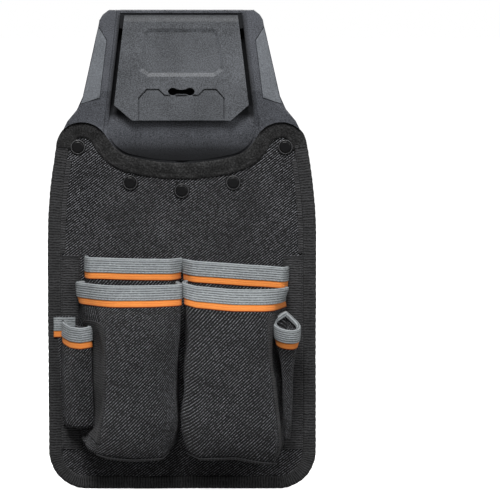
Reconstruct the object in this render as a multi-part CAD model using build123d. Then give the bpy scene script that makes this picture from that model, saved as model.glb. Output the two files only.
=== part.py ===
from build123d import *

import os

# Electrician's tool pouch hanging on its belt clip. Millimetres, front towards -Y, +Z up.
# The origin is the centre of the clip's belt slot. The pouch itself is drawn in a frame of its own,
# with z from the panel's bottom edge and depth (y) from the panel's rear face, negative forwards,
# and is moved into place when it is written.

FAR = 400.0               # larger than the whole object, for cutting tools

# ---- where the pouch hangs on the clip ----
SLOT_HEIGHT = 318.0       # belt slot's centre above the panel's bottom edge
PANEL_REAR_Y = -9.2       # panel's rear face from the belt's centre plane

# ---- back panel ----
PANEL_HALF = 103.7
PANEL_CORNER = 29.0
SIDE_STRAIGHT_TOP = 190.0
SHOULDER_SIDE = (96.0, 272.0)
SHOULDER_TOP = (79.0, 287.0)
NECK_TURN = (58.0, 274.6)
NECK_SIDE = (40.0, 259.6)
NECK_LOW = 254.5
FABRIC_FRONT = -5.0       # layer depths, measured from the panel's rear face
BOARD_FRONT = -3.8
LINING_FRONT = -1.2
TAPE = 1.0                # thickness of a folded binding tape
BOARD_MARGIN = 3.0        # from the panel's edge to the stiffener board
BRACKET_CLEARANCE = 0.4   # between the bracket and the cloth or board beside it
BINDING_WIDTH = 8.5
NECK_BAND_WIDTH = 11.0
UPPER_TAPE_WIDTH = 12.5
UPPER_TAPE_RANGE = (185.0, 258.0)
WEBBING_FRONT = -6.2
WEBBING_INNER = 79.0
WEBBING_OUTER = 94.8
WEBBING_RANGE = (31.0, 183.0)

# ---- rivets ----
RIVETS = [(-80.5, 268.0), (-40.0, 240.3), (0.0, 234.0), (40.0, 240.3), (80.5, 268.0)]
RIVET_SHANK_R = 2.0
RIVET_CAP_R = 4.35
RIVET_CAP_HEIGHT = 1.3
RIVET_CAP_ROUNDING = 0.9
WASHER_R = 6.1
WASHER_FRONT = -6.4
REAR_WASHER_R = 5.0
REAR_WASHER_BACK = 0.9

# ---- bracket ----
BRACKET_FRONT = -14.0
BRACKET_REAR = 0.9
SHOULDER_FRONT = -8.5     # depth of the wings' front where they meet the fabric
SLOPE_START = 60.0        # from here outwards the wings' front slopes back
SLOPE_END = 95.0
SLOPE_TOP = 312.0         # and from here down it slopes back to the shoulders
SLOPE_LOW = 284.0
WING_WALL = 2.5
WING_OUTLINE = [(46.4, 374), (56, 374), (60.4, 370.6), (63, 366.4), (63.8, 362), (66, 353), (76.4, 307),
                (81, 297), (88.5, 288), (92, 281), (92, 272), (58.6, 272)]
FLANGE_OUTLINE = [(0, 225.5), (46, 231), (84, 256.5), (92, 264), (92, 279), (86, 290), (58, 290),
                  (58, 276), (46, 266), (0, 255.5)]
GRIP_OUTLINE = [(63.8, 362), (57, 351), (62.6, 306), (78.9, 301), (76.4, 307), (66, 353)]
GRIP_DEPTH = 1.2
GRIP_GAP = 0.55
SCOOP_LINE = [(300, -5.0), (291, -7.2), (279, -7.4), (266, -5.6), (255, -3.8), (240, -3.8)]
SCOOP_THICKNESS = 2.4
SCOOP_GROOVE_DEPTH = 1.2
SCOOP_GROOVE_WIDTH = 2.4
SCOOP_OUTLINE = [(0, 300), (55.2, 300), (58.8, 270), (58, 240), (0, 240)]
SCOOP_CORNER = 2.0
CHANNEL_OUTLINE = [(46, 375), (49.6, 375), (62, 270), (58, 270)]
CHANNEL_DEPTH = 1.6
WEB_OUTLINE = [(30, 372.6), (48, 372.6), (59.5, 274), (30, 274)]
WEB_FRONT = -1.0
RAIL_INNER = 33.4
RAIL_OUTER = 36.4
RAIL_LIP = 29.4
RAIL_REAR = 5.0
RAIL_RANGE = (274.0, 366.0)
LIP_FRONT = 3.5
ROOF_HALF = 47.5
ROOF_RANGE = (372.0, 374.0)
ROOF_FRONT = -13.0
ROOF_LIP_DEPTH = (-11.5, -10.0)      # hanging edge that closes the gap behind the plate's top
ROOF_LIP_LOW = 360.0

# ---- spring plate on the bracket's front ----
PLATE_TOP = 370.2
PLATE_OUTLINE = [(0, PLATE_TOP), (43.7, PLATE_TOP), (52, 301), (38, 289), (0, 289)]
PLATE_FRONT = -15.0
PLATE_REAR = -12.0
FIELD_OUTLINE = [(0, 360), (25.5, 360), (28.5, 357), (33, 328), (26, 323), (0, 323)]
FIELD_DEPTH = 0.9
FIELD_TAPER = 73.0        # slope of the field's bevelled edge
PLATE_ROLL = [(0.0, 7.0), (0.65, 2.6), (2.4, 0.0)]     # rolled top edge: behind the front, below the top
LEDGE_OUTLINE = [(0, 309), (12.8, 309), (17.5, 313.6), (27, 313.6), (33.5, 306.5), (33.5, 289), (0, 289)]
LEDGE_DEPTH = 1.1
LEDGE_LINE_DEPTH = 1.9    # groove under the ledge's edge
LEDGE_LINE_WIDTH = 1.1
SLOT_HALF = 10.3
SLOT_RANGE = (308.6, 314.2)
SLOT_WAIST = 4.0          # half width of the slot's narrow middle
SLOT_END = 2.5            # length of each rounded end
SLOT_DIP = 1.4            # sag of its upper edge
SLOT_RISE = 0.8
LUG_R = 16.5
LUG_RANGE = (301.0, 307.5)
LUG_REAR = 3.5
LUG_CLEARANCE = 0.5       # below the clip's crescent window

# ---- main pockets: plan corners (x, depth) as back left, front left, front right, back right, bow ----
SHEET = 1.5
SEAM_OVERRUN = 0.25       # share by which a pocket's inside runs on past its seams, to leave its back open
SEAM_GAP = 2.4            # from the centre seam to a pocket's side
REAR_POCKET = {
    "low": ((-77.5, FABRIC_FRONT), (-74, -17), (-8, -17), (-SEAM_GAP, FABRIC_FRONT), 2.0),
    "high": ((-77.5, FABRIC_FRONT), (-72, -23), (-8, -22), (-SEAM_GAP, FABRIC_FRONT), 4.0),
}
REAR_RANGE = (32.0, 182.0)
FRONT_LEFT = {
    "low": ((-80, WEBBING_FRONT), (-65, -52), (-10, -51), (-SEAM_GAP, -24), 10.0),
    "high": ((-84, WEBBING_FRONT), (-61, -48), (-5, -47), (-SEAM_GAP, -24), 6.0),
}
FRONT_RIGHT = {
    "low": ((SEAM_GAP, -24), (8, -52), (76, -49), (80, WEBBING_FRONT), 10.0),
    "high": ((SEAM_GAP, -24), (5, -48), (70, -46), (83, WEBBING_FRONT), 6.0),
}
FRONT_RANGE = (28.0, 164.0)
FRONT_SPLIT = -44.0       # depth where the front pockets' gussets meet their faces
REAR_SPLIT = -15.5
TRIM_THICKNESS = 1.2
STRIPE_THICKNESS = 0.9
GREY_HEIGHT = 11.0
ORANGE_HEIGHT = 6.0
EDGE_BAND_LEFT = ((-FAR, -40.0), (-50.0, -16.0), (40.0, 136.0))    # x, depth and height of the ribbed strips
EDGE_BAND_RIGHT = ((40.0, FAR), (-50.0, -38.0), (34.0, 146.0))
EDGE_BAND_THICKNESS = 1.0

# ---- side pocket and tool loop ----
SIDE_SHEET_FRONT = -7.7
SIDE_POCKET = {
    "low": ((-94, SIDE_SHEET_FRONT), (-88, -24), (-75.5, -26), (-85, SIDE_SHEET_FRONT), 2.0),
    "high": ((-99, SIDE_SHEET_FRONT), (-93, -27), (-75.5, -29), (-87.5, SIDE_SHEET_FRONT), 3.0),
}
SIDE_RANGE = (50.0, 129.0)
SIDE_SPLIT = -21.0
SIDE_SHEET_X = (-100.0, -85.6)
SIDE_SHEET_TOP = 136.0
SIDE_TRIM_X = (-96.0, -90.4)
LOOP_TOP = (85.4, -32.0, 132.0)      # centre of the sleeve's mouth
LOOP_LOW = (83.4, -26.0, 42.0)
LOOP_TOP_RADII = (8.5, 8.0)
LOOP_LOW_RADII = (3.6, 3.2)
LOOP_TAB_X = 85.6
LOOP_TAB_RANGE = (60.0, 110.0)

# ---- belt clip, in the model's own frame ----
CLIP_HALF = 33.0
CLIP_HALF_HEIGHT = 48.0
CLIP_CORNER = 3.0
CLIP_FRONT = -8.0
CLIP_REAR = -4.0
EDGE_REAR = -6.0          # the plate's edges are thinner, to run in the bracket's rails
EDGE_STEP_X = 28.5
WINDOW_HALF = 15.0
WINDOW_LOW = 5.5
LINE_WIDTH = 1.0          # moulded lines beside the window and along the edges
LINE_DEPTH = 0.6
LINE_HEIGHT = 88.0
WINDOW_LINE_GAP = 1.2
WINDOW_LINE_CENTRE = 25.0
WINDOW_LINE_HEIGHT = 38.0
CRESCENT_HALF = 17.5
CRESCENT_TOP = -2.0
CRESCENT_DIP = -6.0
NOTCH_TOP = -33.0
NOTCH_HALF_TOP = 18.0
NOTCH_HALF_LOW = 22.0
EAR_X = (22.4, 28.4)
EAR_LOW = 37.5
EAR_REAR = 7.5
EAR_ROUNDING = 3.5
PIN_Y = 3.2
PIN_Z = 43.3
PIN_R = 1.5
BORE_CLEARANCE = 0.05
BARREL_R = 4.1
BARREL_HALF = 15.5
ARM_FRONT = 4.0
ARM_REAR = 7.4
ARM_HALF = 26.0
ARM_CORNER = 4.0
ARM_SLOT_X = (-12.0, 0.0, 12.0)      # shallow slots in the arm's rear face
ARM_SLOT_SIZE = (2.5, 44.0)
ARM_SLOT_CENTRE = -2.0
ARM_SLOT_DEPTH = 1.0
ARM_SHOULDER = 34.0
ARM_LOW = -40.0
HOOK_FRONT = -3.6
HOOK_LIP = 1.4
HOOK_HALF = 15.0
HOOK_LOW = -43.0
HOOK_THICKNESS = 2.8
PAD_HALF = 18.0
PAD_RANGE = (-28.0, 22.0)
PAD_SEAT = 0.8
PAD_FACE = 3.5
PAD_RIBS = 9
RIB_SHARE = 0.6           # share of a rib's or tooth's pitch that is solid
TONGUE_HALF = 11.0
TONGUE_LOW = 13.5
TONGUE_FRONT = -7.7
TONGUE_REAR = -5.3
TONGUE_PIN_Z = 43.5
TONGUE_PIN_R = 1.0
TONGUE_KNUCKLE_R = 1.9
TONGUE_ROUNDING = 0.9
TONGUE_PIN_HALF = 18.9
LATCH_HALF = 16.5
LATCH_TOP_HALF = 16.6
LATCH_LOW_HALF = 19.9
LATCH_RANGE = (-47.5, -34.2)
LATCH_FRONT = -7.2
LATCH_REAR = -4.4
LATCH_TEETH = 11
TOOTH_DEPTH = 0.6
CATCH_Y = (-1.6, 0.5)
CATCH_TOP = -40.6
CATCH_FOOT = 2.4
SPRING_BORE_R = 1.6
SPRING_R = 1.0
SPRING_WIRE = 0.25
SPRING_TOP = -26.5
SPRING_X = 10.0
SPRING_TURNS = 7
ARM_SPRING_WIRE = 0.4
ARM_SPRING_GAP = 1.0      # from the coil to the arm's barrel and to the clip's ear
ARM_SPRING_TURNS = 4

PANEL_PLACE = Pos(0, PANEL_REAR_Y, -SLOT_HEIGHT)


# ---------------------------------------------------------------- helpers
def save(name, shape, place=PANEL_PLACE):
    export_step(place * shape, f"parts/{name}.step")


def save_clip(name, shape):
    save(name, shape, Pos(0, 0, 0))


def slab(outline, rear, front):
    """Solid of an upright outline (x, z) between two depths; front is the smaller one."""
    return extrude(Plane.XZ.offset(-rear) * outline, amount=rear - front)


def polygon(points):
    return make_face(Polyline(*points, close=True))


def both_sides(half):
    return half + mirror(half, about=Plane.YZ)


def symmetric(points):
    return both_sides(polygon(points))


def block(x_range, y_range, z_range):
    size = [high - low for low, high in (x_range, y_range, z_range)]
    low_corner = (x_range[0], y_range[0], z_range[0])
    return Pos(*low_corner) * Box(*size, align=(Align.MIN, Align.MIN, Align.MIN))


def rod_x(radius, x_range, y, z):
    """Round bar along X."""
    start = Plane((x_range[0], y, z), x_dir=(0, 1, 0), z_dir=(1, 0, 0))
    return extrude(start * Circle(radius), amount=x_range[1] - x_range[0])


def rod_y(radius, x, z, rear, front):
    """Round bar along Y."""
    return slab(Pos(x, z) * Circle(radius), rear, front)


def rod_z(radius, x, y, z_range):
    """Round bar along Z."""
    return extrude(Pos(x, y, z_range[0]) * Circle(radius), amount=z_range[1] - z_range[0])


def mirrored(shape):
    return mirror(shape, about=Plane.YZ)


# ---------------------------------------------------------------- back panel
def panel_outline():
    side_low = (PANEL_HALF, PANEL_CORNER)
    bottom_end = (PANEL_HALF - PANEL_CORNER, 0)
    side_top = (PANEL_HALF, SIDE_STRAIGHT_TOP)
    neck = TangentArc((0, NECK_LOW), NECK_SIDE, tangent=(1, 0))
    turn = TangentArc(NECK_SIDE, NECK_TURN, tangent=neck % 1)
    lobe = TangentArc(NECK_TURN, SHOULDER_TOP, tangent=turn % 1)
    shoulder = TangentArc(SHOULDER_TOP, SHOULDER_SIDE, tangent=lobe % 1)
    return both_sides(make_face([
        Line((0, 0), bottom_end),
        TangentArc(bottom_end, side_low, tangent=(1, 0)),
        Line(side_low, side_top),
        TangentArc(side_top, SHOULDER_SIDE, tangent=(0, 1)),
        shoulder,
        lobe,
        turn,
        neck,
        Line((0, NECK_LOW), (0, 0)),
    ]))


def without_rivet_holes(shape):
    for x, z in RIVETS:
        shape -= rod_y(RIVET_SHANK_R, x, z, FAR, -FAR)
    return shape


def make_panel(outline):
    inner = offset(outline, amount=-TAPE)
    flange = offset(symmetric(FLANGE_OUTLINE), amount=BRACKET_CLEARANCE)
    board = offset(outline, amount=-BOARD_MARGIN) - flange
    neck_zone = Pos(0, 270) * Rectangle(150, 60) + Pos(0, 290) * Rectangle(186, 28)
    narrow_ring = outline - offset(outline, amount=-BINDING_WIDTH)
    binding = slab(narrow_ring - neck_zone, TAPE, FABRIC_FRONT - TAPE) - slab(inner, 0, FABRIC_FRONT)
    neck_ring = outline - offset(outline, amount=-NECK_BAND_WIDTH)
    neck_band = slab(neck_ring & neck_zone, FABRIC_FRONT, FABRIC_FRONT - TAPE)
    tape_low, tape_high = UPPER_TAPE_RANGE
    tape_zone = Pos(0, (tape_low + tape_high) / 2) * Rectangle(FAR, tape_high - tape_low)
    wide_ring = offset(outline, amount=-BINDING_WIDTH) - offset(outline, amount=-UPPER_TAPE_WIDTH)
    middle_zone = Rectangle(2 * WEBBING_INNER, 2 * FAR)
    upper_tapes = slab((wide_ring & tape_zone) - middle_zone, FABRIC_FRONT, FABRIC_FRONT - TAPE)

    save("back_panel_fabric", without_rivet_holes(slab(inner, BOARD_FRONT, FABRIC_FRONT)))
    save("stiffener_board", slab(board, LINING_FRONT, BOARD_FRONT))
    save("rear_lining", without_rivet_holes(slab(inner, 0, LINING_FRONT)))
    save("edge_binding", binding)
    save("neckline_binding", neck_band)
    save("upper_side_tapes", upper_tapes)
    webbing = block((WEBBING_INNER, WEBBING_OUTER), (WEBBING_FRONT, FABRIC_FRONT), WEBBING_RANGE)
    save("side_webbing_right", webbing)
    save("side_webbing_left", mirrored(webbing))


def make_rivets():
    rivets = []
    washers = []
    for x, z in RIVETS:
        shank = rod_y(RIVET_SHANK_R, x, z, REAR_WASHER_BACK, WASHER_FRONT)
        cap = rod_y(RIVET_CAP_R, x, z, WASHER_FRONT, WASHER_FRONT - RIVET_CAP_HEIGHT)
        front_edge = cap.edges().group_by(Axis.Y)[0]
        rivets.append(shank + fillet(front_edge, RIVET_CAP_ROUNDING))
        front_washer = rod_y(WASHER_R, x, z, FABRIC_FRONT, WASHER_FRONT)
        rear_washer = rod_y(REAR_WASHER_R, x, z, REAR_WASHER_BACK, 0)
        for washer in (front_washer, rear_washer):
            washers.append(washer - rod_y(RIVET_SHANK_R, x, z, FAR, -FAR))
    save("rivets", Compound(rivets))
    save("rivet_washers", Compound(washers))


# ---------------------------------------------------------------- bracket
def behind_front(shift):
    """Space behind the bracket's sculpted front surface, set back by shift."""
    level = BRACKET_FRONT + shift
    shoulder = SHOULDER_FRONT + shift
    plan_half = [(0, level), (SLOPE_START, level), (SLOPE_END, shoulder), (SLOPE_END, FAR), (0, FAR)]
    plan = extrude(Pos(0, 0, PANEL_HALF) * symmetric(plan_half), amount=FAR)
    side = polygon([(level, FAR), (level, SLOPE_TOP), (shoulder, SLOPE_LOW), (shoulder, 0), (FAR, 0), (FAR, FAR)])
    return plan & extrude(Plane.YZ * side, amount=FAR, both=True)


def scoop_layer(outline, front_shift, rear_shift):
    """Layer of the scoop's bent wall, between two distances behind its front surface."""
    front = [(depth + front_shift, z) for z, depth in SCOOP_LINE]
    rear = [(depth + rear_shift, z) for z, depth in SCOOP_LINE]
    profile = make_face([Spline(*front), Line(front[-1], rear[-1]), Spline(*rear), Line(rear[0], front[0])])
    return extrude(Plane.YZ * profile, amount=FAR, both=True) & slab(outline, FAR, -FAR)


def make_scoop(clear_of_panel):
    """Bent wall below the spring plate, with a groove around its raised middle."""
    zone = symmetric(SCOOP_OUTLINE) - clear_of_panel
    middle = offset(zone, amount=-SCOOP_GROOVE_WIDTH)
    middle = fillet(middle.vertices().group_by(Axis.Y)[-1], SCOOP_CORNER)
    backing = scoop_layer(zone, SCOOP_GROOVE_DEPTH, SCOOP_THICKNESS)
    return backing + scoop_layer(middle, 0, SCOOP_GROOVE_DEPTH)


def make_bracket(outline):
    clear_of_panel = offset(outline, amount=BRACKET_CLEARANCE)
    wings = symmetric(WING_OUTLINE) - clear_of_panel
    body = slab(wings, BRACKET_REAR, BRACKET_FRONT - 2) & behind_front(0)
    hollows = slab(offset(wings, amount=-WING_WALL), BRACKET_REAR, BRACKET_FRONT) & behind_front(WING_WALL)
    grip_seat = slab(symmetric(GRIP_OUTLINE), 0, BRACKET_FRONT - 2) & (behind_front(0) - behind_front(GRIP_DEPTH))
    grip_shape = offset(symmetric(GRIP_OUTLINE), amount=-GRIP_GAP)
    grips = slab(grip_shape, 0, BRACKET_FRONT - 2) & (behind_front(0) - behind_front(GRIP_DEPTH))

    scoop = make_scoop(clear_of_panel)
    channel = slab(symmetric(CHANNEL_OUTLINE), 0, BRACKET_FRONT - 2)
    body -= channel & (behind_front(0) - behind_front(CHANNEL_DEPTH))
    flange = without_rivet_holes(slab(symmetric(FLANGE_OUTLINE), LINING_FRONT, BOARD_FRONT))
    web = slab(symmetric(WEB_OUTLINE), BRACKET_REAR, WEB_FRONT)
    rail = block((RAIL_INNER, RAIL_OUTER), (BRACKET_REAR, RAIL_REAR), RAIL_RANGE)
    rail += block((RAIL_LIP, RAIL_OUTER), (LIP_FRONT, RAIL_REAR), RAIL_RANGE)
    roof = block((-ROOF_HALF, ROOF_HALF), (ROOF_FRONT, RAIL_REAR), ROOF_RANGE)
    roof += block((-ROOF_HALF, ROOF_HALF), ROOF_LIP_DEPTH, (ROOF_LIP_LOW, ROOF_RANGE[0]))
    bracket = body - hollows - grip_seat + scoop + flange + web + rail + mirrored(rail) + roof
    save("bracket", bracket)

    right_side = block((0, FAR), (-FAR, FAR), (0, FAR))
    save("grip_insert_right", grips & right_side)
    save("grip_insert_left", mirrored(grips & right_side))


def make_front_plate():
    low, high = SLOT_RANGE
    middle = (low + high) / 2
    shoulder = high - SLOT_DIP / 2
    waist = low + SLOT_RISE
    left_top = ThreePointArc((-SLOT_HALF, middle), (-SLOT_HALF + SLOT_END, high), (-SLOT_WAIST, shoulder))
    left_low = ThreePointArc((-SLOT_WAIST, waist), (-SLOT_HALF + SLOT_END, low), (-SLOT_HALF, middle))
    slot = make_face([
        left_top,
        ThreePointArc((-SLOT_WAIST, shoulder), (0, high - SLOT_DIP), (SLOT_WAIST, shoulder)),
        mirrored(left_top),
        mirrored(left_low),
        Line((SLOT_WAIST, waist), (-SLOT_WAIST, waist)),
        left_low,
    ])
    plate = slab(symmetric(PLATE_OUTLINE), PLATE_REAR, PLATE_FRONT)
    front_corner = (PLATE_FRONT, PLATE_TOP)
    roll = [(PLATE_FRONT + behind, PLATE_TOP - below) for behind, below in PLATE_ROLL]
    roll_face = make_face([ThreePointArc(*roll), Line(roll[-1], front_corner), Line(front_corner, roll[0])])
    plate -= extrude(Plane.YZ * roll_face, amount=FAR, both=True)
    plate -= slab(slot, PLATE_REAR, PLATE_FRONT)
    field_plane = Plane.XZ.offset(-PLATE_FRONT)
    plate -= extrude(field_plane * symmetric(FIELD_OUTLINE), amount=-FIELD_DEPTH, taper=FIELD_TAPER)
    ledge = symmetric(LEDGE_OUTLINE)
    ledge_line = ledge - offset(ledge, amount=-LEDGE_LINE_WIDTH)
    ledge_line -= Pos(0, PLATE_OUTLINE[-1][1]) * Rectangle(FAR, 2 * LEDGE_LINE_WIDTH)
    plate -= slab(ledge, PLATE_FRONT + LEDGE_DEPTH, PLATE_FRONT - 1)
    plate -= slab(ledge_line, PLATE_FRONT + LEDGE_LINE_DEPTH, PLATE_FRONT - 1)
    save("front_plate", plate)

    window_centre = SLOT_HEIGHT + CRESCENT_TOP
    lug_low, lug_high = LUG_RANGE
    band = Pos(0, (lug_low + lug_high) / 2) * Rectangle(FAR, lug_high - lug_low)
    lug = Pos(0, window_centre + LUG_CLEARANCE) * Circle(LUG_R) & band
    save("lock_lug", slab(lug, LUG_REAR, PLATE_REAR))


# ---------------------------------------------------------------- pockets
def plan_face(plan, grow, extend):
    """Closed plan of a pocket, grown outwards by grow, its gussets run on behind the seams by extend."""
    back_left, front_left, front_right, back_right, bow = plan

    def seam(back, front, side):
        x = back[0] + extend * (back[0] - front[0]) + side * grow
        return (x, back[1] + extend * (back[1] - front[1]))

    start = seam(back_left, front_left, -1)
    left = (front_left[0] - grow, front_left[1] - grow)
    right = (front_right[0] + grow, front_right[1] - grow)
    end = seam(back_right, front_right, 1)
    middle = ((left[0] + right[0]) / 2, (left[1] + right[1]) / 2 - bow)
    return make_face([Line(start, left), ThreePointArc(left, middle, right), Line(right, end), Line(end, start)])


def pocket_solid(shape, z_range, grow=0.0, extend=0.0):
    """Solid filling a pocket from its bottom to its rim."""
    low = Pos(0, 0, z_range[0]) * plan_face(shape["low"], grow, extend)
    high = Pos(0, 0, z_range[1]) * plan_face(shape["high"], grow, extend)
    return loft([low, high])


def mirrored_plan(shape):
    """The same pocket on the other side of the centre line."""
    result = {}
    for level, (back_left, front_left, front_right, back_right, bow) in shape.items():
        corners = [(-x, depth) for x, depth in (back_right, front_right, front_left, back_left)]
        result[level] = (*corners, bow)
    return result


def band_around(shape, z_range, thickness, z_low, z_high):
    """Webbing of one thickness around a pocket's outside between two heights."""
    ring = pocket_solid(shape, z_range, grow=thickness) - pocket_solid(shape, z_range)
    ring -= pocket_solid(shape, z_range, grow=-SHEET, extend=SEAM_OVERRUN)
    return ring & block((-FAR, FAR), (-FAR, FAR), (z_low, z_high))


def make_pocket(name, shape, z_range, split):
    """Write the face and the two gussets of one open-topped pocket; return its bottom and its two trims."""
    low, high = z_range
    outer = pocket_solid(shape, z_range)
    floor_zone = block((-FAR, FAR), (-FAR, FAR), (low, low + SHEET))
    walls = outer - pocket_solid(shape, z_range, grow=-SHEET, extend=SEAM_OVERRUN) - floor_zone
    face = walls & block((-FAR, FAR), (-FAR, split), (0, FAR))
    sides = (walls & block((-FAR, FAR), (split, FAR), (0, FAR))).solids().sort_by(Axis.X)
    save(f"{name}_face", face)
    save(f"{name}_gusset_left", sides[0])
    save(f"{name}_gusset_right", sides[-1])
    grey_low = high - GREY_HEIGHT
    trim = band_around(shape, z_range, TRIM_THICKNESS, grey_low, high)
    stripe = band_around(shape, z_range, STRIPE_THICKNESS, grey_low - ORANGE_HEIGHT, grey_low)
    return outer & floor_zone, trim, stripe


def make_main_pockets():
    pockets = (
        ("rear_pocket_left", REAR_POCKET, REAR_RANGE, REAR_SPLIT),
        ("rear_pocket_right", mirrored_plan(REAR_POCKET), REAR_RANGE, REAR_SPLIT),
        ("front_pocket_left", FRONT_LEFT, FRONT_RANGE, FRONT_SPLIT),
        ("front_pocket_right", FRONT_RIGHT, FRONT_RANGE, FRONT_SPLIT),
    )
    bottoms = []
    for name, shape, z_range, split in pockets:
        bottom, trim, stripe = make_pocket(name, shape, z_range, split)
        save(f"{name}_trim", trim)
        save(f"{name}_stripe", stripe)
        bottoms.extend(bottom.solids())
    save("pocket_bottoms", Compound(bottoms))


def make_edge_bands():
    """Ribbed strips sewn along the front pockets' outer front corners."""
    sides = (("left", FRONT_LEFT, EDGE_BAND_LEFT), ("right", FRONT_RIGHT, EDGE_BAND_RIGHT))
    for name, shape, (x_range, depth_range, height_range) in sides:
        band = band_around(shape, FRONT_RANGE, EDGE_BAND_THICKNESS, *height_range)
        save(f"pocket_edge_band_{name}", band & block(x_range, depth_range, (0, FAR)))


def make_side_pocket():
    bottom, trim, stripe = make_pocket("side_pocket", SIDE_POCKET, SIDE_RANGE, SIDE_SPLIT)
    save("side_pocket_bottom", bottom)
    sheet = block(SIDE_SHEET_X, (SIDE_SHEET_FRONT, WEBBING_FRONT), (SIDE_RANGE[0], SIDE_SHEET_TOP))
    save("side_pocket_back", sheet)
    trim_low = SIDE_SHEET_TOP - GREY_HEIGHT
    trim_depth = (SIDE_SHEET_FRONT - TRIM_THICKNESS, SIDE_SHEET_FRONT)
    back_trim = block(SIDE_TRIM_X, trim_depth, (trim_low, SIDE_SHEET_TOP))
    stripe_depth = (SIDE_SHEET_FRONT - STRIPE_THICKNESS, SIDE_SHEET_FRONT)
    back_stripe = block(SIDE_TRIM_X, stripe_depth, (trim_low - ORANGE_HEIGHT, trim_low))
    save("side_pocket_trims", Compound([*trim.solids(), *back_trim.solids()]))
    save("side_pocket_stripes", Compound([*stripe.solids(), *back_stripe.solids()]))


def loop_solid(grow):
    """Tapered sleeve of the tool loop, grown by grow."""
    sections = []
    for (x, y, z), (x_radius, y_radius) in ((LOOP_LOW, LOOP_LOW_RADII), (LOOP_TOP, LOOP_TOP_RADII)):
        sections.append(Pos(x, y, z) * Ellipse(x_radius + grow, y_radius + grow))
    return loft(sections)


def make_tool_loop():
    outer = loop_solid(0)
    low = LOOP_LOW[2]
    high = LOOP_TOP[2]
    everywhere = (-FAR, FAR)
    floor_zone = block(everywhere, everywhere, (low, low + SHEET))
    save("tool_loop_sleeve", outer - (loop_solid(-SHEET) - floor_zone))
    tab = block((LOOP_TAB_X, LOOP_TAB_X + SHEET), (LOOP_TOP[1], WEBBING_FRONT), LOOP_TAB_RANGE)
    save("tool_loop_tab", (tab - outer).solids().sort_by(Axis.Y)[-1])
    grey_low = high - GREY_HEIGHT
    orange_low = grey_low - ORANGE_HEIGHT
    trim_zone = block(everywhere, everywhere, (grey_low, high))
    stripe_zone = block(everywhere, everywhere, (orange_low, grey_low))
    save("tool_loop_trim", (loop_solid(TRIM_THICKNESS) - outer) & trim_zone)
    save("tool_loop_stripe", (loop_solid(STRIPE_THICKNESS) - outer) & stripe_zone)


# ---------------------------------------------------------------- belt clip
def crescent(half, top, dip):
    """Half-round window with a bowed upper edge."""
    upper = ThreePointArc((-half, top), (0, dip), (half, top))
    lower = ThreePointArc((half, top), (0, top - half), (-half, top))
    return make_face([upper, lower])


def make_clip_housing():
    window = Pos(0, WINDOW_LOW + WINDOW_HALF) * Circle(WINDOW_HALF)
    window += Pos(0, WINDOW_LOW + WINDOW_HALF + 20) * Rectangle(2 * WINDOW_HALF, 40)
    notch = symmetric([(0, NOTCH_TOP), (NOTCH_HALF_TOP, NOTCH_TOP), (NOTCH_HALF_LOW, -60), (0, -60)])
    outline = RectangleRounded(2 * CLIP_HALF, 2 * CLIP_HALF_HEIGHT, CLIP_CORNER)
    outline -= window
    outline -= crescent(CRESCENT_HALF, CRESCENT_TOP, CRESCENT_DIP)
    outline -= notch
    housing = slab(outline, CLIP_REAR, CLIP_FRONT)
    for side in (-1, 1):
        edge = Pos(side * (EDGE_STEP_X + CLIP_HALF) / 2, 0) * Rectangle(CLIP_HALF - EDGE_STEP_X, 2 * FAR)
        housing -= slab(edge, CLIP_REAR, EDGE_REAR)
        edge_line = Pos(side * (EDGE_STEP_X - 2 * LINE_WIDTH), 0) * Rectangle(LINE_WIDTH, LINE_HEIGHT)
        window_line = Pos(side * (WINDOW_HALF + WINDOW_LINE_GAP), WINDOW_LINE_CENTRE)
        window_line *= Rectangle(LINE_WIDTH, WINDOW_LINE_HEIGHT)
        for line in (edge_line, window_line):
            housing -= slab(line, CLIP_FRONT + LINE_DEPTH, CLIP_FRONT - 1)
        housing -= rod_z(SPRING_BORE_R, side * SPRING_X, (CLIP_FRONT + CLIP_REAR) / 2, (NOTCH_TOP - 1, SPRING_TOP))
    ear = block(EAR_X, (CLIP_REAR, EAR_REAR), (EAR_LOW, CLIP_HALF_HEIGHT))
    rear_edges = ear.edges().filter_by(Axis.X).group_by(Axis.Y)[-1]
    ear = fillet(rear_edges, EAR_ROUNDING)
    housing += ear + mirrored(ear)
    housing -= rod_x(PIN_R, (-FAR, FAR), PIN_Y, PIN_Z)
    pin_x = (-TONGUE_PIN_HALF, TONGUE_PIN_HALF)
    housing -= rod_x(TONGUE_PIN_R, pin_x, (CLIP_FRONT + CLIP_REAR) / 2, TONGUE_PIN_Z)
    save_clip("clip_housing", housing)


def make_tongue():
    """Sprung tongue in the housing's window, hung on a small pin."""
    middle = (CLIP_FRONT + CLIP_REAR) / 2
    blade = Pos(0, TONGUE_LOW + TONGUE_HALF) * Circle(TONGUE_HALF)
    top = TONGUE_PIN_Z
    straight = top - TONGUE_LOW - TONGUE_HALF
    blade += Pos(0, top - straight / 2) * Rectangle(2 * TONGUE_HALF, straight)
    tongue = slab(blade, TONGUE_REAR, TONGUE_FRONT)
    front_edges = tongue.edges().filter_by(GeomType.CIRCLE).group_by(Axis.Y)[0]
    tongue = fillet(front_edges, TONGUE_ROUNDING)
    knuckle_half = WINDOW_HALF - 0.2
    tongue += rod_x(TONGUE_KNUCKLE_R, (-knuckle_half, knuckle_half), middle, TONGUE_PIN_Z)
    tongue -= rod_x(TONGUE_PIN_R + BORE_CLEARANCE, (-FAR, FAR), middle, TONGUE_PIN_Z)
    save_clip("spring_tongue", tongue)
    pin_x = (-TONGUE_PIN_HALF, TONGUE_PIN_HALF)
    save_clip("tongue_pin", rod_x(TONGUE_PIN_R, pin_x, middle, TONGUE_PIN_Z))


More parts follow.
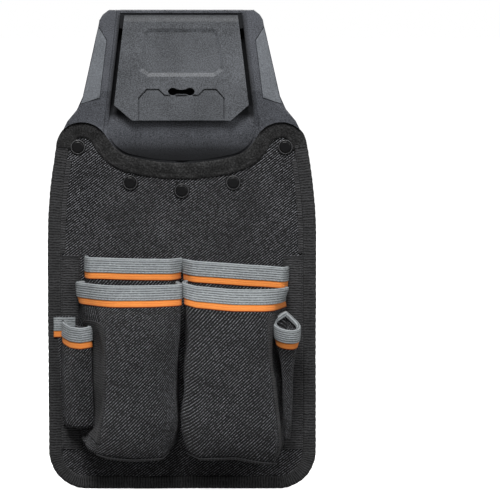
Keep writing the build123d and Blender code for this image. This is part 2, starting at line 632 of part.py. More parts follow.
def make_arm():
    """Hinged rear arm that closes the belt slot, its rubber grip pad, pin and springs."""
    wide = Pos(0, (ARM_SHOULDER + ARM_LOW) / 2) * RectangleRounded(2 * ARM_HALF, ARM_SHOULDER - ARM_LOW, ARM_CORNER)
    neck_high = PIN_Z + 3
    neck_low = ARM_SHOULDER - 6
    neck = Pos(0, (neck_high + neck_low) / 2) * Rectangle(2 * BARREL_HALF, neck_high - neck_low)
    arm = slab(wide + neck, ARM_REAR, ARM_FRONT)
    arm += rod_x(BARREL_R, (-BARREL_HALF, BARREL_HALF), PIN_Y, PIN_Z)
    shelf_z = (ARM_LOW, ARM_LOW + HOOK_THICKNESS)
    arm += block((-HOOK_HALF, HOOK_HALF), (HOOK_FRONT, ARM_REAR), shelf_z)
    arm += block((-HOOK_HALF, HOOK_HALF), (HOOK_FRONT, HOOK_FRONT + HOOK_LIP), (HOOK_LOW, ARM_LOW + HOOK_THICKNESS))
    arm -= rod_x(PIN_R + BORE_CLEARANCE, (-FAR, FAR), PIN_Y, PIN_Z)
    arm -= block((-PAD_HALF, PAD_HALF), (ARM_FRONT - 1, ARM_FRONT + PAD_SEAT), PAD_RANGE)
    for x in ARM_SLOT_X:
        slot = Pos(x, ARM_SLOT_CENTRE) * RectangleRounded(*ARM_SLOT_SIZE, ARM_SLOT_SIZE[0] / 2.1)
        arm -= slab(slot, FAR, ARM_REAR - ARM_SLOT_DEPTH)
    save_clip("belt_arm", arm)

    pad_low, pad_high = PAD_RANGE
    pad = block((-PAD_HALF, PAD_HALF), (ARM_FRONT, ARM_FRONT + PAD_SEAT), PAD_RANGE)
    pitch = (pad_high - pad_low) / PAD_RIBS
    for index in range(PAD_RIBS):
        rib_low = pad_low + (index + (1 - RIB_SHARE) / 2) * pitch
        pad += block((-PAD_HALF, PAD_HALF), (PAD_FACE, ARM_FRONT), (rib_low, rib_low + RIB_SHARE * pitch))
    save_clip("belt_grip_pad", pad)

    pin_half = EAR_X[1]
    save_clip("hinge_pin", rod_x(PIN_R, (-pin_half, pin_half), PIN_Y, PIN_Z))


def make_arm_springs():
    """Torsion springs on the hinge pin, one beside each end of the arm's barrel."""
    coil_r = PIN_R + 2 * ARM_SPRING_WIRE
    start_x = BARREL_HALF + ARM_SPRING_GAP
    length = EAR_X[0] - start_x - ARM_SPRING_GAP
    axis_plane = Plane((start_x, PIN_Y, PIN_Z), x_dir=(0, 1, 0), z_dir=(1, 0, 0))
    path = axis_plane.location * Helix(pitch=length / ARM_SPRING_TURNS, height=length, radius=coil_r)
    section = Plane(origin=path @ 0, z_dir=path % 0) * Circle(ARM_SPRING_WIRE)
    coil = sweep(section, path=path, is_frenet=True)
    save_clip("arm_springs", Compound([*coil.solids(), *mirrored(coil).solids()]))


def make_latch():
    """Thumb latch below the housing's window, its catch and its two springs."""
    low, high = LATCH_RANGE
    body = symmetric([(0, high), (LATCH_TOP_HALF, high), (LATCH_LOW_HALF, low), (0, low)])
    latch = slab(body, LATCH_REAR, LATCH_FRONT)
    pitch = 2 * LATCH_HALF / LATCH_TEETH
    for index in range(LATCH_TEETH):
        left = -LATCH_HALF + (index + (1 - RIB_SHARE) / 2) * pitch
        tooth_x = (left, left + RIB_SHARE * pitch)
        latch += block(tooth_x, (LATCH_FRONT - TOOTH_DEPTH, LATCH_FRONT), (low + 1, high - 1))
    latch += block((-HOOK_HALF, HOOK_HALF), (LATCH_REAR, CATCH_Y[1]), (low, low + CATCH_FOOT))
    save_clip("gate_latch", latch)
    catch = block((-HOOK_HALF + 1, HOOK_HALF - 1), CATCH_Y, (low + CATCH_FOOT, CATCH_TOP))
    save_clip("latch_catch", catch)

    spring_low = high
    height = SPRING_TOP - spring_low
    springs = []
    for side in (-1, 1):
        centre = Pos(side * SPRING_X, (CLIP_FRONT + CLIP_REAR) / 2, spring_low + SPRING_WIRE)
        run = height - 2 * SPRING_WIRE
        path = centre * Helix(pitch=run / SPRING_TURNS, height=run, radius=SPRING_R)
        section = Plane(origin=path @ 0, z_dir=path % 0) * Circle(SPRING_WIRE)
        springs.extend(sweep(section, path=path, is_frenet=True).solids())
    save_clip("latch_springs", Compound(springs))


os.makedirs("parts", exist_ok=True)
panel = panel_outline()
make_panel(panel)
make_rivets()
make_bracket(panel)
make_front_plate()
make_main_pockets()
make_edge_bands()
make_side_pocket()
make_tool_loop()
make_clip_housing()
make_tongue()
make_arm()
make_arm_springs()
make_latch()
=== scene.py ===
from math import cos, pi, radians, sin

import bpy
import numpy as np
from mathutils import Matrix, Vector, geometry, noise


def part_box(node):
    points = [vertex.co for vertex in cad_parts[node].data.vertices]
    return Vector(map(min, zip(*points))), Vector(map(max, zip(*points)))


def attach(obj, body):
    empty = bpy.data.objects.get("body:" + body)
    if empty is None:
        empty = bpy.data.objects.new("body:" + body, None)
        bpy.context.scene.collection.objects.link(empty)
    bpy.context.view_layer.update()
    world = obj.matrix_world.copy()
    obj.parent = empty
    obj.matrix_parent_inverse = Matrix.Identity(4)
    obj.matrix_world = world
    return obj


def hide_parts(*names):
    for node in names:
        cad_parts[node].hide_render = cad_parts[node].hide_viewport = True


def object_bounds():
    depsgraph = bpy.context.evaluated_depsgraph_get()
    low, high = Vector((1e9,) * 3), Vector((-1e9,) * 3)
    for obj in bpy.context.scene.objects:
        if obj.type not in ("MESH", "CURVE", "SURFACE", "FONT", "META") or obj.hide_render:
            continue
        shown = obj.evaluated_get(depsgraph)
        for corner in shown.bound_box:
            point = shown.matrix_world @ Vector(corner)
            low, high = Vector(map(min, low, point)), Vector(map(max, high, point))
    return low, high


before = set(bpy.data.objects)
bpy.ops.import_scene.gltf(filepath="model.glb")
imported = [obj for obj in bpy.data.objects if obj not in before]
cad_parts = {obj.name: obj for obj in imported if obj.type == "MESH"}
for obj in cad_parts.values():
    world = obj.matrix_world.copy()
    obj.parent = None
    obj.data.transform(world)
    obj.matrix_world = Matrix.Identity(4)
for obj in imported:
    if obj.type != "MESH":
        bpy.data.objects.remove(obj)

# Looks of the tool pouch. Soft goods are drawn in the panel's own frame, in millimetres: x to the right,
# depth from the panel's rear face (negative forwards) and height from the panel's bottom edge.

CAD_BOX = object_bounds()
MM = 0.001
PANEL_ORIGIN = np.array([0.0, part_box("rear_lining")[1].y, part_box("edge_binding")[0].z])


def panel_box(node):
    """Lowest and highest corner of a CAD node, in panel millimetres."""
    return [(np.array(corner) - PANEL_ORIGIN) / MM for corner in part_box(node)]


# ---- curves
def along(keys, values, t):
    """Smooth curve through values at keys, read at t."""
    keys = np.asarray(keys, float)
    values = np.asarray(values, float)
    slopes = np.gradient(values, keys, axis=0)
    t = np.clip(t, keys[0], keys[-1])
    i = int(np.clip(np.searchsorted(keys, t) - 1, 0, len(keys) - 2))
    span = keys[i + 1] - keys[i]
    s = (t - keys[i]) / span
    return ((2 * s**3 - 3 * s**2 + 1) * values[i] + (s**3 - 2 * s**2 + s) * span * slopes[i]
            + (3 * s**2 - 2 * s**3) * values[i + 1] + (s**3 - s**2) * span * slopes[i + 1])


def lengths(points):
    """Distance along a polyline at each of its points."""
    steps = np.linalg.norm(np.diff(points, axis=0), axis=1)
    return np.concatenate([[0.0], np.cumsum(steps)])


def read_at(places, run, points):
    """Points read at some distances along their polyline."""
    return np.array([np.interp(places, run, column) for column in points.T]).T


def resampled(points, step):
    """The same polyline with evenly spaced points."""
    run = lengths(points)
    return read_at(np.linspace(0, run[-1], int(round(run[-1] / step)) + 1), run, points)


def unit(vectors):
    return vectors / np.maximum(np.linalg.norm(vectors, axis=1, keepdims=True), 1e-9)


def right_of(tangent):
    """Unit vectors to the right-hand side of flat tangents."""
    tangent = unit(tangent)
    return np.column_stack([tangent[:, 1], -tangent[:, 0]])


def path_normals(path):
    """Right-hand unit vectors of an open path: outwards on a wall drawn from left to right."""
    return right_of(np.gradient(path, axis=0))


def loop_normals(loop):
    """Outward unit vectors of a closed anticlockwise loop."""
    return right_of(np.roll(loop, -1, axis=0) - np.roll(loop, 1, axis=0))


def bumpy(x, y, z, size, seed):
    """Smooth noise in -1..1 whose lumps are about size millimetres across, at points or arrays of them."""
    places = np.broadcast(x, y, z)
    values = [noise.noise(Vector((a / size + seed * 17.3, b / size - seed * 5.1, c / size + seed * 3.7)))
              for a, b, c in places]
    return np.reshape(values, places.shape)


# ---- meshes
def new_object(name, data):
    made = bpy.data.objects.new(name, data)
    bpy.context.scene.collection.objects.link(made)
    return made


def new_piece(name, points, faces, uvs, material, thickness=0.0):
    """Smooth-shaded mesh of panel-frame points; uvs is one (u, v) in millimetres for each point."""
    mesh = bpy.data.meshes.new(name)
    points = np.asarray(points, float) * MM + PANEL_ORIGIN
    mesh.from_pydata([tuple(p) for p in points], [], [tuple(f) for f in faces])
    layer = mesh.uv_layers.new(name="UVMap")
    corner_points = np.zeros(len(mesh.loops), np.int32)
    mesh.loops.foreach_get("vertex_index", corner_points)
    layer.data.foreach_set("uv", (np.asarray(uvs, float) * MM)[corner_points].astype(np.float32).ravel())
    mesh.shade_smooth()
    mesh.materials.append(material)
    piece = new_object(name, mesh)
    if thickness:
        solid = piece.modifiers.new("thickness", "SOLIDIFY")
        solid.thickness = thickness * MM
        solid.offset = -1
    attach(piece, "pouch")
    return piece


def grid_faces(rows, columns, closed=False):
    """Four-sided faces between the rows of a grid; closed joins its last column to its first."""
    faces = []
    for r in range(rows - 1):
        for c in range(columns if closed else columns - 1):
            d = (c + 1) % columns
            faces.append((r * columns + c, r * columns + d, (r + 1) * columns + d, (r + 1) * columns + c))
    return faces


def grid_piece(name, grid, u, v, material, thickness=0.0, closed=False):
    """Piece from a grid of points, with u along its columns and v along its rows in millimetres."""
    rows, columns, _ = grid.shape
    u = np.broadcast_to(u, (rows, columns))
    v = np.broadcast_to(np.asarray(v)[:, None], (rows, columns))
    uvs = np.column_stack([u.ravel(), v.ravel()])
    return new_piece(name, grid.reshape(-1, 3), grid_faces(rows, columns, closed), uvs, material, thickness)


def upright(xs, depths, heights):
    """Grid whose rows lie at some heights."""
    return np.dstack(np.broadcast_arrays(xs, depths, heights[:, None]))


def declare(node):
    """Hide the CAD node that a cloth piece stands for."""
    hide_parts(node)


def cloth(name, grid, u, v, material, thickness, node, closed=False):
    """Piece of cloth or webbing from a grid, in place of a CAD node that it hides."""
    piece = grid_piece(name, grid, u, v, material, thickness, closed)
    declare(node)


# ---- materials
class Net:
    """Adds nodes to one material."""

    def __init__(self, name, colour, roughness, specular=0.4, sheen=0.0, metallic=0.0):
        self.material = bpy.data.materials.new(name)
        self.material.use_nodes = True
        self.tree = self.material.node_tree
        self.shader = self.tree.nodes["Principled BSDF"]
        self.shader.inputs["Base Color"].default_value = (*colour, 1)
        self.shader.inputs["Roughness"].default_value = roughness
        self.shader.inputs["Specular IOR Level"].default_value = specular
        self.shader.inputs["Metallic"].default_value = metallic
        if sheen:
            self.shader.inputs["Sheen Weight"].default_value = sheen
            self.shader.inputs["Sheen Roughness"].default_value = 0.5

    def node(self, kind, inputs=(), **settings):
        made = self.tree.nodes.new(kind)
        for key, value in settings.items():
            setattr(made, key, value)
        for key, value in dict(inputs).items():
            self.put(made.inputs[key], value)
        return made

    def put(self, socket, value):
        if isinstance(value, bpy.types.NodeSocket):
            self.tree.links.new(value, socket)
        else:
            socket.default_value = value

    def math(self, operation, first, second=0.0, clamp=False):
        made = self.node("ShaderNodeMath", {0: first, 1: second}, operation=operation, use_clamp=clamp)
        return made.outputs[0]

    def times(self, first, *others, clamp=False):
        for other in others:
            first = self.math("MULTIPLY", first, other, clamp)
        return first

    def plus(self, first, second, clamp=False):
        return self.math("ADD", first, second, clamp)

    def above(self, value, floor, gain, clamp=False):
        """How far value is above floor, times gain."""
        return self.times(self.math("SUBTRACT", value, floor), gain, clamp=clamp)

    def wave(self, place, pitch=1.0):
        """Rounded humps in 0..1 that repeat at every pitch."""
        return self.math("ABSOLUTE", self.math("SINE", self.times(place, pi / pitch)))

    def blend(self, factor, first, second):
        """Number between first and second."""
        return self.plus(self.times(self.math("SUBTRACT", 1.0, factor), first), self.times(factor, second))

    def ranged(self, value, low, high, to_low=0.0, to_high=1.0):
        """Value taken from low..high to to_low..to_high and held there."""
        return self.node("ShaderNodeMapRange", {"Value": value, "From Min": low, "From Max": high,
                                                "To Min": to_low, "To Max": to_high}).outputs[0]

    def colours(self, factor, dark, light):
        made = self.node("ShaderNodeMix", data_type="RGBA")
        self.put(made.inputs["Factor"], factor)
        for socket, colour in ((made.inputs[6], dark), (made.inputs[7], light)):
            self.put(socket, colour if isinstance(colour, bpy.types.NodeSocket) else (*colour, 1))
        self.tree.links.new(made.outputs[2], self.shader.inputs["Base Color"])
        return made.outputs[2]

    def on_cloth(self):
        """The place on the cloth, in metres."""
        return self.node("ShaderNodeUVMap").outputs[0]

    def on_object(self):
        return self.node("ShaderNodeTexCoord").outputs["Object"]

    def parts(self, place):
        return self.node("ShaderNodeSeparateXYZ", {"Vector": place}).outputs[:3]

    def noise(self, size, detail=3.0, place=None):
        """Noise whose lumps are about size millimetres across."""
        made = self.node("ShaderNodeTexNoise", {"Vector": place or self.on_cloth(), "Scale": 1 / (size * MM),
                                                "Detail": detail})
        return made.outputs["Fac"]

    def bump(self, height, depth):
        """Bump of a height map in 0..1 that stands for depth millimetres."""
        made = self.node("ShaderNodeBump", {"Height": height, "Distance": depth * MM, "Strength": 1.0})
        self.put(self.shader.inputs["Normal"], made.outputs[0])

    def roughness(self, value):
        self.put(self.shader.inputs["Roughness"], value)


def weave(name, dark, light, pitch, floats=2, raised=0.5):
    """Twill cloth that repeats every 2 * floats threads and shows those below raised as light dashes, a
    painted sheen on the raised yarns.
    """
    net = Net(name, dark, 0.62, 0.3, 0.05)
    u, v, _ = net.parts(net.on_cloth())
    drift = net.above(net.noise(14.0, 2.0), 0.5, 1.6)
    u = net.plus(net.math("DIVIDE", u, pitch[0] * MM), drift)
    v = net.plus(net.math("DIVIDE", v, pitch[1] * MM), drift)
    steps = net.math("SUBTRACT", net.math("FLOOR", u), net.math("FLOOR", v))
    weft_up = net.math("LESS_THAN", net.math("FLOORED_MODULO", steps, 2.0 * floats), raised)
    warp_round = net.wave(u)
    height = net.blend(weft_up, warp_round, net.wave(v))
    yarn = net.node("ShaderNodeTexWhiteNoise", noise_dimensions="2D")
    cell = net.node("ShaderNodeCombineXYZ", {"X": net.math("FLOOR", net.math("DIVIDE", u, float(floats))),
                                             "Y": net.math("FLOOR", v)})
    net.put(yarn.inputs["Vector"], cell.outputs[0])
    # Painted sheen: lightest on the crowns of the raised yarns, varied at random per yarn and by wear
    dot = net.math("POWER", net.times(height, net.blend(warp_round, 0.6, 1.0)), 1.6)
    wear = net.noise(30.0, 4.0)
    fleck = net.times(dot, weft_up, net.blend(yarn.outputs["Value"], 0.15, 1.15), net.blend(wear, 0.35, 1.55),
                      net.blend(net.noise(2.1, 2.0), 0.1, 1.9))
    net.colours(fleck, dark, light)
    net.bump(height, 0.28)
    net.roughness(net.blend(wear, 0.52, 0.74))
    return net.material


def felted(name, dark, light, size, depth, power=2.2):
    """Brushed tape: short fibres in every direction."""
    net = Net(name, dark, 0.85, 0.2, 0.1)
    height = net.plus(net.times(net.noise(size, 6.0), 0.8), net.times(net.noise(size * 7, 3.0), 0.4))
    height = net.above(height, 0.32, 1.8, clamp=True)
    net.colours(net.math("POWER", height, power), dark, light)
    net.bump(height, depth)
    return net.material


def ribbed(name, dark, light, rib, thread, upright=False, groove=0.5, depth=0.2, contrast=1.0, edge_shade=None):
    """Webbing: ribs rib millimetres apart along u, or along v if upright, with crossing threads, and painted
    shade in the grooves between them.
    """
    net = Net(name, light, 0.72, 0.25, 0.05)
    u, v, _ = net.parts(net.on_cloth())
    across, run = (u, v) if upright else (v, u)
    across = net.plus(across, net.above(net.noise(4.0, 3.0), 0.5, (contrast - 1) * rib * MM))
    rib_round = net.math("POWER", net.wave(across, rib * MM), groove)
    thread_round = net.wave(run, thread * MM)
    fuzz = net.noise(0.7, 4.0)
    dashes = net.above(net.noise(1.6, 2.0), 0.42, 2.6, clamp=True)
    # Painted shade: darker in the grooves between ribs and between crossing threads, mixed with random fuzz
    # and blotches
    shade = net.times(net.blend(rib_round, dashes, 1.0), net.blend(thread_round, 0.62, 1.0),
                      net.blend(fuzz, 0.7, 1.25), net.blend(net.noise(9.0, 3.0), 0.75, 1.18))
    face = net.colours(net.math("POWER", shade, contrast), dark, light)
    # edge_shade paints a dark shade along the ribbon's lower edge, where its fold is in shadow
    if edge_shade:
        net.colours(net.ranged(v, 0.5 * MM, 1.3 * MM), edge_shade, face)
    net.bump(net.plus(net.times(thread_round, 0.6), fuzz), depth)
    return net.material


def moulded(name, colour, roughness=0.5, grain=1.1, depth=0.07, specular=0.45, shade=None):
    """Plastic with a fine moulded grain and slightly uneven gloss; shade darkens parts of it by place."""
    net = Net(name, colour, roughness, specular)
    fine = net.noise(grain, 3.0, net.on_object())
    broad = net.noise(32.0, 4.0, net.on_object())
    darker, lighter = [0.55 * c for c in colour], [1.45 * c + 0.004 for c in colour]
    uneven = net.plus(net.above(fine, 0.5, 1.8), net.above(broad, 0.5, 0.7))
    mix = net.plus(uneven, 0.5, clamp=True)
    gloss = net.blend(broad, roughness - 0.1, roughness + 0.1)
    if shade:
        tone = shade(net)
        mix = net.times(mix, tone)
        gloss = net.blend(tone, 0.95, gloss)
        darker, lighter = [0.1 * c for c in colour], [1.9 * c for c in colour]
    net.colours(mix, darker, lighter)
    net.bump(fine, depth)
    net.roughness(gloss)
    return net.material


PLATE_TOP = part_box("front_plate")[1].z
PLATE_ROLL = 0.007        # height of the plate's rolled top edge
PLATE_HEIGHT = 0.069
PLATE_TAPER = 0.0083      # how much narrower each side of the plate is at its top
SCOOP_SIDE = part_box("front_plate")[1].x + 0.004
SCOOP_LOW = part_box("front_plate")[0].z - 0.036
# How light the scoop is at shares of the height from SCOOP_LOW to just over the plate's top
SCOOP_TONES = ((0.03, 0.05), (0.07, 0.07), (0.11, 0.18), (0.16, 0.7), (0.25, 1.0), (0.3, 1.0), (0.34, 0.1),
               (0.98, 0.06))


def plate_shade(net):
    """Darker on the plate's rolled top edge, which faces the light."""
    height = net.parts(net.on_object())[2]
    return net.ranged(height, PLATE_TOP - PLATE_ROLL, PLATE_TOP, 1.0, 0.4)


def scoop_shade(net):
    """Darker towards the bottom of the bracket's scoop and in the shadow line round the plate."""
    x, _, height = net.parts(net.on_object())
    taper = net.ranged(height, PLATE_TOP - PLATE_HEIGHT, PLATE_TOP, 0.0, PLATE_TAPER)
    from_middle = net.plus(net.math("ABSOLUTE", x), taper)
    aside = net.ranged(from_middle, SCOOP_SIDE - 0.001, SCOOP_SIDE + 0.002)
    tone = net.node("ShaderNodeValToRGB", {"Fac": net.ranged(height, SCOOP_LOW, PLATE_TOP + 0.002)})
    ramp = tone.color_ramp.elements
    ramp[0].color = (0.3, 0.3, 0.3, 1)
    ramp[1].color = (0.9, 0.9, 0.9, 1)
    for where, value in SCOOP_TONES:
        ramp.new(where).color = (value, value, value, 1)
    return net.blend(aside, tone.outputs[0], 1.0)


def steel(name, colour, roughness):
    net = Net(name, colour, roughness, 0.5, metallic=1.0)
    scratches = net.noise(0.8, 5.0, net.on_object())
    net.roughness(net.blend(scratches, roughness - 0.12, roughness + 0.15))
    net.bump(scratches, 0.02)
    return net.material


GREY_HEIGHT = 10.8
ORANGE_HEIGHT = 5.3
TRIM_LAP = 0.6            # how far the orange ribbon runs under the grey one
ORANGE_WIDTH = ORANGE_HEIGHT + TRIM_LAP
RIB_GREY = GREY_HEIGHT / 6
RIB_ORANGE = ORANGE_WIDTH / 4
RIB_BLACK = 1.9
RIB_BINDING = 2.1
CLOTH = weave("ballistic_cloth", (0.001, 0.001, 0.0014), (0.62, 0.63, 0.68), (0.68, 0.52))
POCKET_CLOTH = weave("pocket_cloth", (0.0006, 0.0006, 0.001), (0.58, 0.59, 0.64), (0.66, 0.64))
LINING = weave("lining_cloth", (0.012, 0.012, 0.013), (0.075, 0.075, 0.078), (0.8, 0.8), 1, 1.0)
FELT = felted("felted_tape", (0.0015, 0.0015, 0.0015), (0.072, 0.072, 0.073), 1.4, 0.7, 2.3)
BLACK_WEB = ribbed("black_webbing_weave", (0.001, 0.001, 0.0012), (0.09, 0.09, 0.094), RIB_BLACK, 0.55,
                   groove=0.8, contrast=2.2)
BINDING_TAPE = ribbed("ribbed_binding", (0.001, 0.001, 0.0012), (0.07, 0.07, 0.073), RIB_BINDING, 0.8,
                      upright=True, groove=0.7, depth=0.3, contrast=2.2)
GREY_WEB = ribbed("grey_webbing_weave", (0.05, 0.054, 0.058), (0.46, 0.495, 0.51), RIB_GREY, 0.75,
                  groove=0.7, contrast=1.4)
# The orange ribbon gets a painted dark red-brown shade along its lower edge.
ORANGE_WEB = ribbed("orange_webbing_weave", (0.8, 0.14, 0.026), (1.0, 0.375, 0.082), RIB_ORANGE, 0.55,
                    groove=0.4, edge_shade=(0.2, 0.03, 0.006))
THREAD = felted("black_thread", (0.008, 0.008, 0.009), (0.06, 0.06, 0.064), 0.3, 0.1)
SEAM = felted("seam_tape", (0.01, 0.01, 0.011), (0.07, 0.07, 0.074), 0.4, 0.2)
GREY_THREAD = felted("grey_thread", (0.12, 0.125, 0.13), (0.4, 0.42, 0.43), 0.3, 0.1)


# ---- outline of the panel
def outline_of(node):
    """Outer edge of a flat upright CAD node's front face, as a closed loop of (x, height)."""
    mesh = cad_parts[node].data
    points = np.array([v.co for v in mesh.vertices], float)
    keys = np.round(points / (0.02 * MM)).astype(int)
    _, first, same = np.unique(keys, axis=0, return_index=True, return_inverse=True)
    same = same.ravel()
    front = points[:, 1].min() + 0.05 * MM
    sides = {}
    for polygon in mesh.polygons:
        if all(points[i, 1] < front for i in polygon.vertices):
            ring = [same[i] for i in polygon.vertices]
            sides.update(dict.fromkeys(zip(ring, ring[1:] + ring[:1])))
    border = {a: b for a, b in sides if (b, a) not in sides}
    loops = []
    while border:
        loop = [next(iter(border))]
        while loop[-1] in border:
            loop.append(border.pop(loop[-1]))
        loops.append(loop[:-1])
    outer = points[first[max(loops, key=len)]]
    return ((outer - PANEL_ORIGIN) / MM)[:, [0, 2]]


def signed_area(loop):
    following = np.roll(loop, -1, axis=0)
    return np.sum(loop[:, 0] * following[:, 1] - following[:, 0] * loop[:, 1]) / 2


def even_loop(loop, step):
    """Closed loop with even spacing and softened facets, from the bottom's middle to the right and round."""
    if signed_area(loop) < 0:
        loop = loop[::-1]
    closed = resampled(np.vstack([loop, loop[:1]]), step)[:-1]
    start = np.argmin(np.abs(closed[:, 0]) + 10 * (closed[:, 1] > 20))
    closed = np.roll(closed, -start, axis=0)
    for _ in range(3):
        closed = (np.roll(closed, 1, axis=0) + 2 * closed + np.roll(closed, -1, axis=0)) / 4
    return closed


CLOTH_LOOP = even_loop(outline_of("back_panel_fabric"), 1.5)
TAPE = 1.0                # how far the tapes stand out past the cloth
PANEL_LOOP = CLOTH_LOOP + loop_normals(CLOTH_LOOP) * TAPE
CLOTH_FRONT = panel_box("back_panel_fabric")[0][1]
TAPE_FRONT = CLOTH_FRONT - TAPE
JOIN_HEIGHT = 271.0       # where the side binding runs under the neckline's tape
JOIN_LAP = 4.0


def edge_part(neck):
    """The neckline's stretch of the panel's edge, or the rest of it, with its outward vectors."""
    x, height = PANEL_LOOP.T
    dip = (np.abs(x) < 70) & (height > 200)
    flags = dip | (height >= JOIN_HEIGHT - JOIN_LAP) if neck else ~dip & (height < JOIN_HEIGHT)
    start = next(i for i in range(len(flags)) if flags[i] and not flags[i - 1])
    order = (start + np.arange(flags.sum())) % len(flags)
    return PANEL_LOOP[order], loop_normals(PANEL_LOOP)[order]


# ---- panel
RIVETS = ((-80.5, 268.0), (-40.0, 240.3), (0.0, 234.0), (40.0, 240.3), (80.5, 268.0))
BORDER_GAP = 1.2          # how clear of its border a sheet's inner points stay


def panel_depth(x, height):
    """Depth of the front cloth, with its waves, the long fold at the right and the dips at the rivets."""
    stands_off = 0.45 + 0.8 * bumpy(x, 0, height, 46, 1) + 0.34 * bumpy(x, 0, height, 19, 2)
    from_fold = x - 57 - 0.54 * (233 - height)
    fold = 1.3 * np.exp(-(from_fold / 5) ** 2) - np.exp(-((from_fold + 8) / 5) ** 2)
    stands_off += fold * np.exp(-((height - 216) / 22) ** 2)
    for rivet_x, rivet_height in RIVETS:
        stands_off -= 0.7 * np.exp(-(np.hypot(x - rivet_x, height - rivet_height) / 9) ** 2)
    return CLOTH_FRONT - 0.15 - 0.8 * stands_off


def lining_depth(x, height):
    return 0.25 * bumpy(x, 3, height, 30, 5) - 0.1


def inside(point, loop):
    """Whether a point lies in the loop and clear of its border."""
    x, y = point
    following = np.roll(loop, -1, axis=0)
    crosses = (loop[:, 1] > y) != (following[:, 1] > y)
    slope = (y - loop[:, 1]) / np.where(crosses, following[:, 1] - loop[:, 1], 1.0)
    hits = crosses & (x < loop[:, 0] + slope * (following[:, 0] - loop[:, 0]))
    return hits.sum() % 2 == 1 and np.min(np.hypot(loop[:, 0] - x, loop[:, 1] - y)) > BORDER_GAP


def make_sheet(name, depth_at, spacing, material, thickness, node):
    """Sheet of the panel: an even mesh that fills the cloth's outline."""
    low, high = CLOTH_LOOP.min(0), CLOTH_LOOP.max(0)
    xs, heights = (np.arange(low[k] + spacing / 2, high[k], spacing) for k in (0, 1))
    border = [Vector(p) for p in CLOTH_LOOP]
    inner = [Vector((x, h)) for h in heights for x in xs if inside((x, h), CLOTH_LOOP)]
    edges = [(i, (i + 1) % len(border)) for i in range(len(border))]
    flat, _, faces, *_ = geometry.delaunay_2d_cdt(border + inner, edges, [], 1, 1e-4)
    flat = np.array(flat)
    faces = [face if signed_area(flat[face[:3]]) > 0 else face[::-1] for face in faces]
    points = np.column_stack([flat[:, 0], depth_at(*flat.T), flat[:, 1]])
    piece = new_piece(name, points, faces, flat, material, thickness)
    declare(node)


def make_panel():
    make_sheet("panel_cloth", panel_depth, 2.2, CLOTH, 1.0, "back_panel_fabric")
    make_sheet("panel_lining", lining_depth, 3.4, LINING, -1.0, "rear_lining")


BINDING = 8.5
NECK_BAND = 11.0
LAP_RANGE = (-37.0, -6.0)  # where the binding's end laps over its start on the bottom edge
# The tapes in section, from the front edge round to the back, as (distance inwards, depth). The depth is from
# the tape's front in the first part and from the panel's rear face in the second.
SIDE_FRONT = ((BINDING + 0.3, 0.9), (BINDING, 0.25), (BINDING - 1, 0), (6.6, 0), (5.6, 0.18), (4.6, 0),
              (3, -0.1), (1.6, -0.05), (0.7, 0.3), (0.2, 0.9), (0, 2))
SIDE_REAR = ((0, -2), (0.2, 0.1), (0.7, 0.7), (1.6, 0.95), (3, 1), (4.6, 0.9), (5.6, 0.75), (6.6, 0.9),
             (BINDING - 1, 1), (BINDING, 0.7))
NECK_FRONT = ((NECK_BAND + 0.2, 1), (NECK_BAND, 0.3), (NECK_BAND - 1, 0), (NECK_BAND - 2.4, -0.1),
              (NECK_BAND - 3.2, 0.1), (NECK_BAND - 4.2, -0.25), (5, -0.45), (3, -0.5), (1.5, -0.35),
              (0.4, 0.1), (-0.2, 0.9), (0, 1.9), (0.8, 2.4))


def make_tape(name, path, normal, front, rear, pucker, material, node):
    """Tape folded over a stretch of the panel's edge; pucker lifts its surface."""
    profile = np.array([(inwards, TAPE_FRONT + depth) for inwards, depth in front] + list(rear), float)
    run = lengths(path)
    lift = -right_of(np.gradient(profile, axis=0))
    rows = []
    for (inwards, depth), (lift_in, lift_depth) in zip(profile, lift):
        rise = pucker(run, inwards, depth)
        x, height = (path - normal * (inwards + lift_in * rise)[:, None]).T
        rows.append(np.column_stack([x, depth + lift_depth * rise, height]))
    cloth(name, np.array(rows), run, lengths(profile), material, 0.7, node)


def side_pucker(run, inwards, depth):
    ribs = (0.3 + 0.16 * bumpy(run, inwards, depth, 11, 13)) * np.abs(np.sin(run * pi / RIB_BINDING))
    loose = 0.22 * bumpy(run, inwards * 2, depth, 7, 11) + 0.35 * bumpy(run, inwards, 0, 38, 12)
    return ribs + loose * (0.4 + 0.3 * max(0.0, 1 - inwards / 3))


def neck_pucker(run, inwards, depth):
    return 0.32 * bumpy(run, inwards * 2, depth, 9, 21) + 0.14 * bumpy(run, inwards * 3, depth, 3.2, 22)


def make_bindings():
    path, normal = edge_part(False)
    lap = np.clip((path[:, 0] - LAP_RANGE[0]) / (LAP_RANGE[1] - LAP_RANGE[0]), 0, 1)
    lapped = (path[:, 1] < 5) & (path[:, 0] > LAP_RANGE[0])
    path = path + normal * (0.9 * (1 - lap) * lapped)[:, None]
    make_tape("edge_tape", path, normal, SIDE_FRONT, SIDE_REAR, side_pucker, BINDING_TAPE, "edge_binding")
    make_tape("neckline_tape", *edge_part(True), NECK_FRONT, (), neck_pucker, FELT, "neckline_binding")


def tube(name, path, radius, flat=1.0):
    """Rolled seam along a path, tapering at its ends."""
    tangent = unit(np.gradient(path, axis=0))
    side = unit(np.cross(tangent, (0.0, 0.0, 1.0)))
    other = np.cross(side, tangent) * flat
    angles = np.linspace(0, 2 * pi, 8, endpoint=False)
    from_end = np.minimum(np.arange(len(path)), np.arange(len(path))[::-1])
    size = (radius * np.minimum(1.0, 0.15 + from_end / 3))[:, None, None]
    ring = side[:, None] * np.cos(angles)[:, None] + other[:, None] * np.sin(angles)[:, None]
    u = np.linspace(0, 2 * pi * radius, len(angles))
    grid_piece(name, path[:, None] + ring * size, u, lengths(path), SEAM, closed=True)


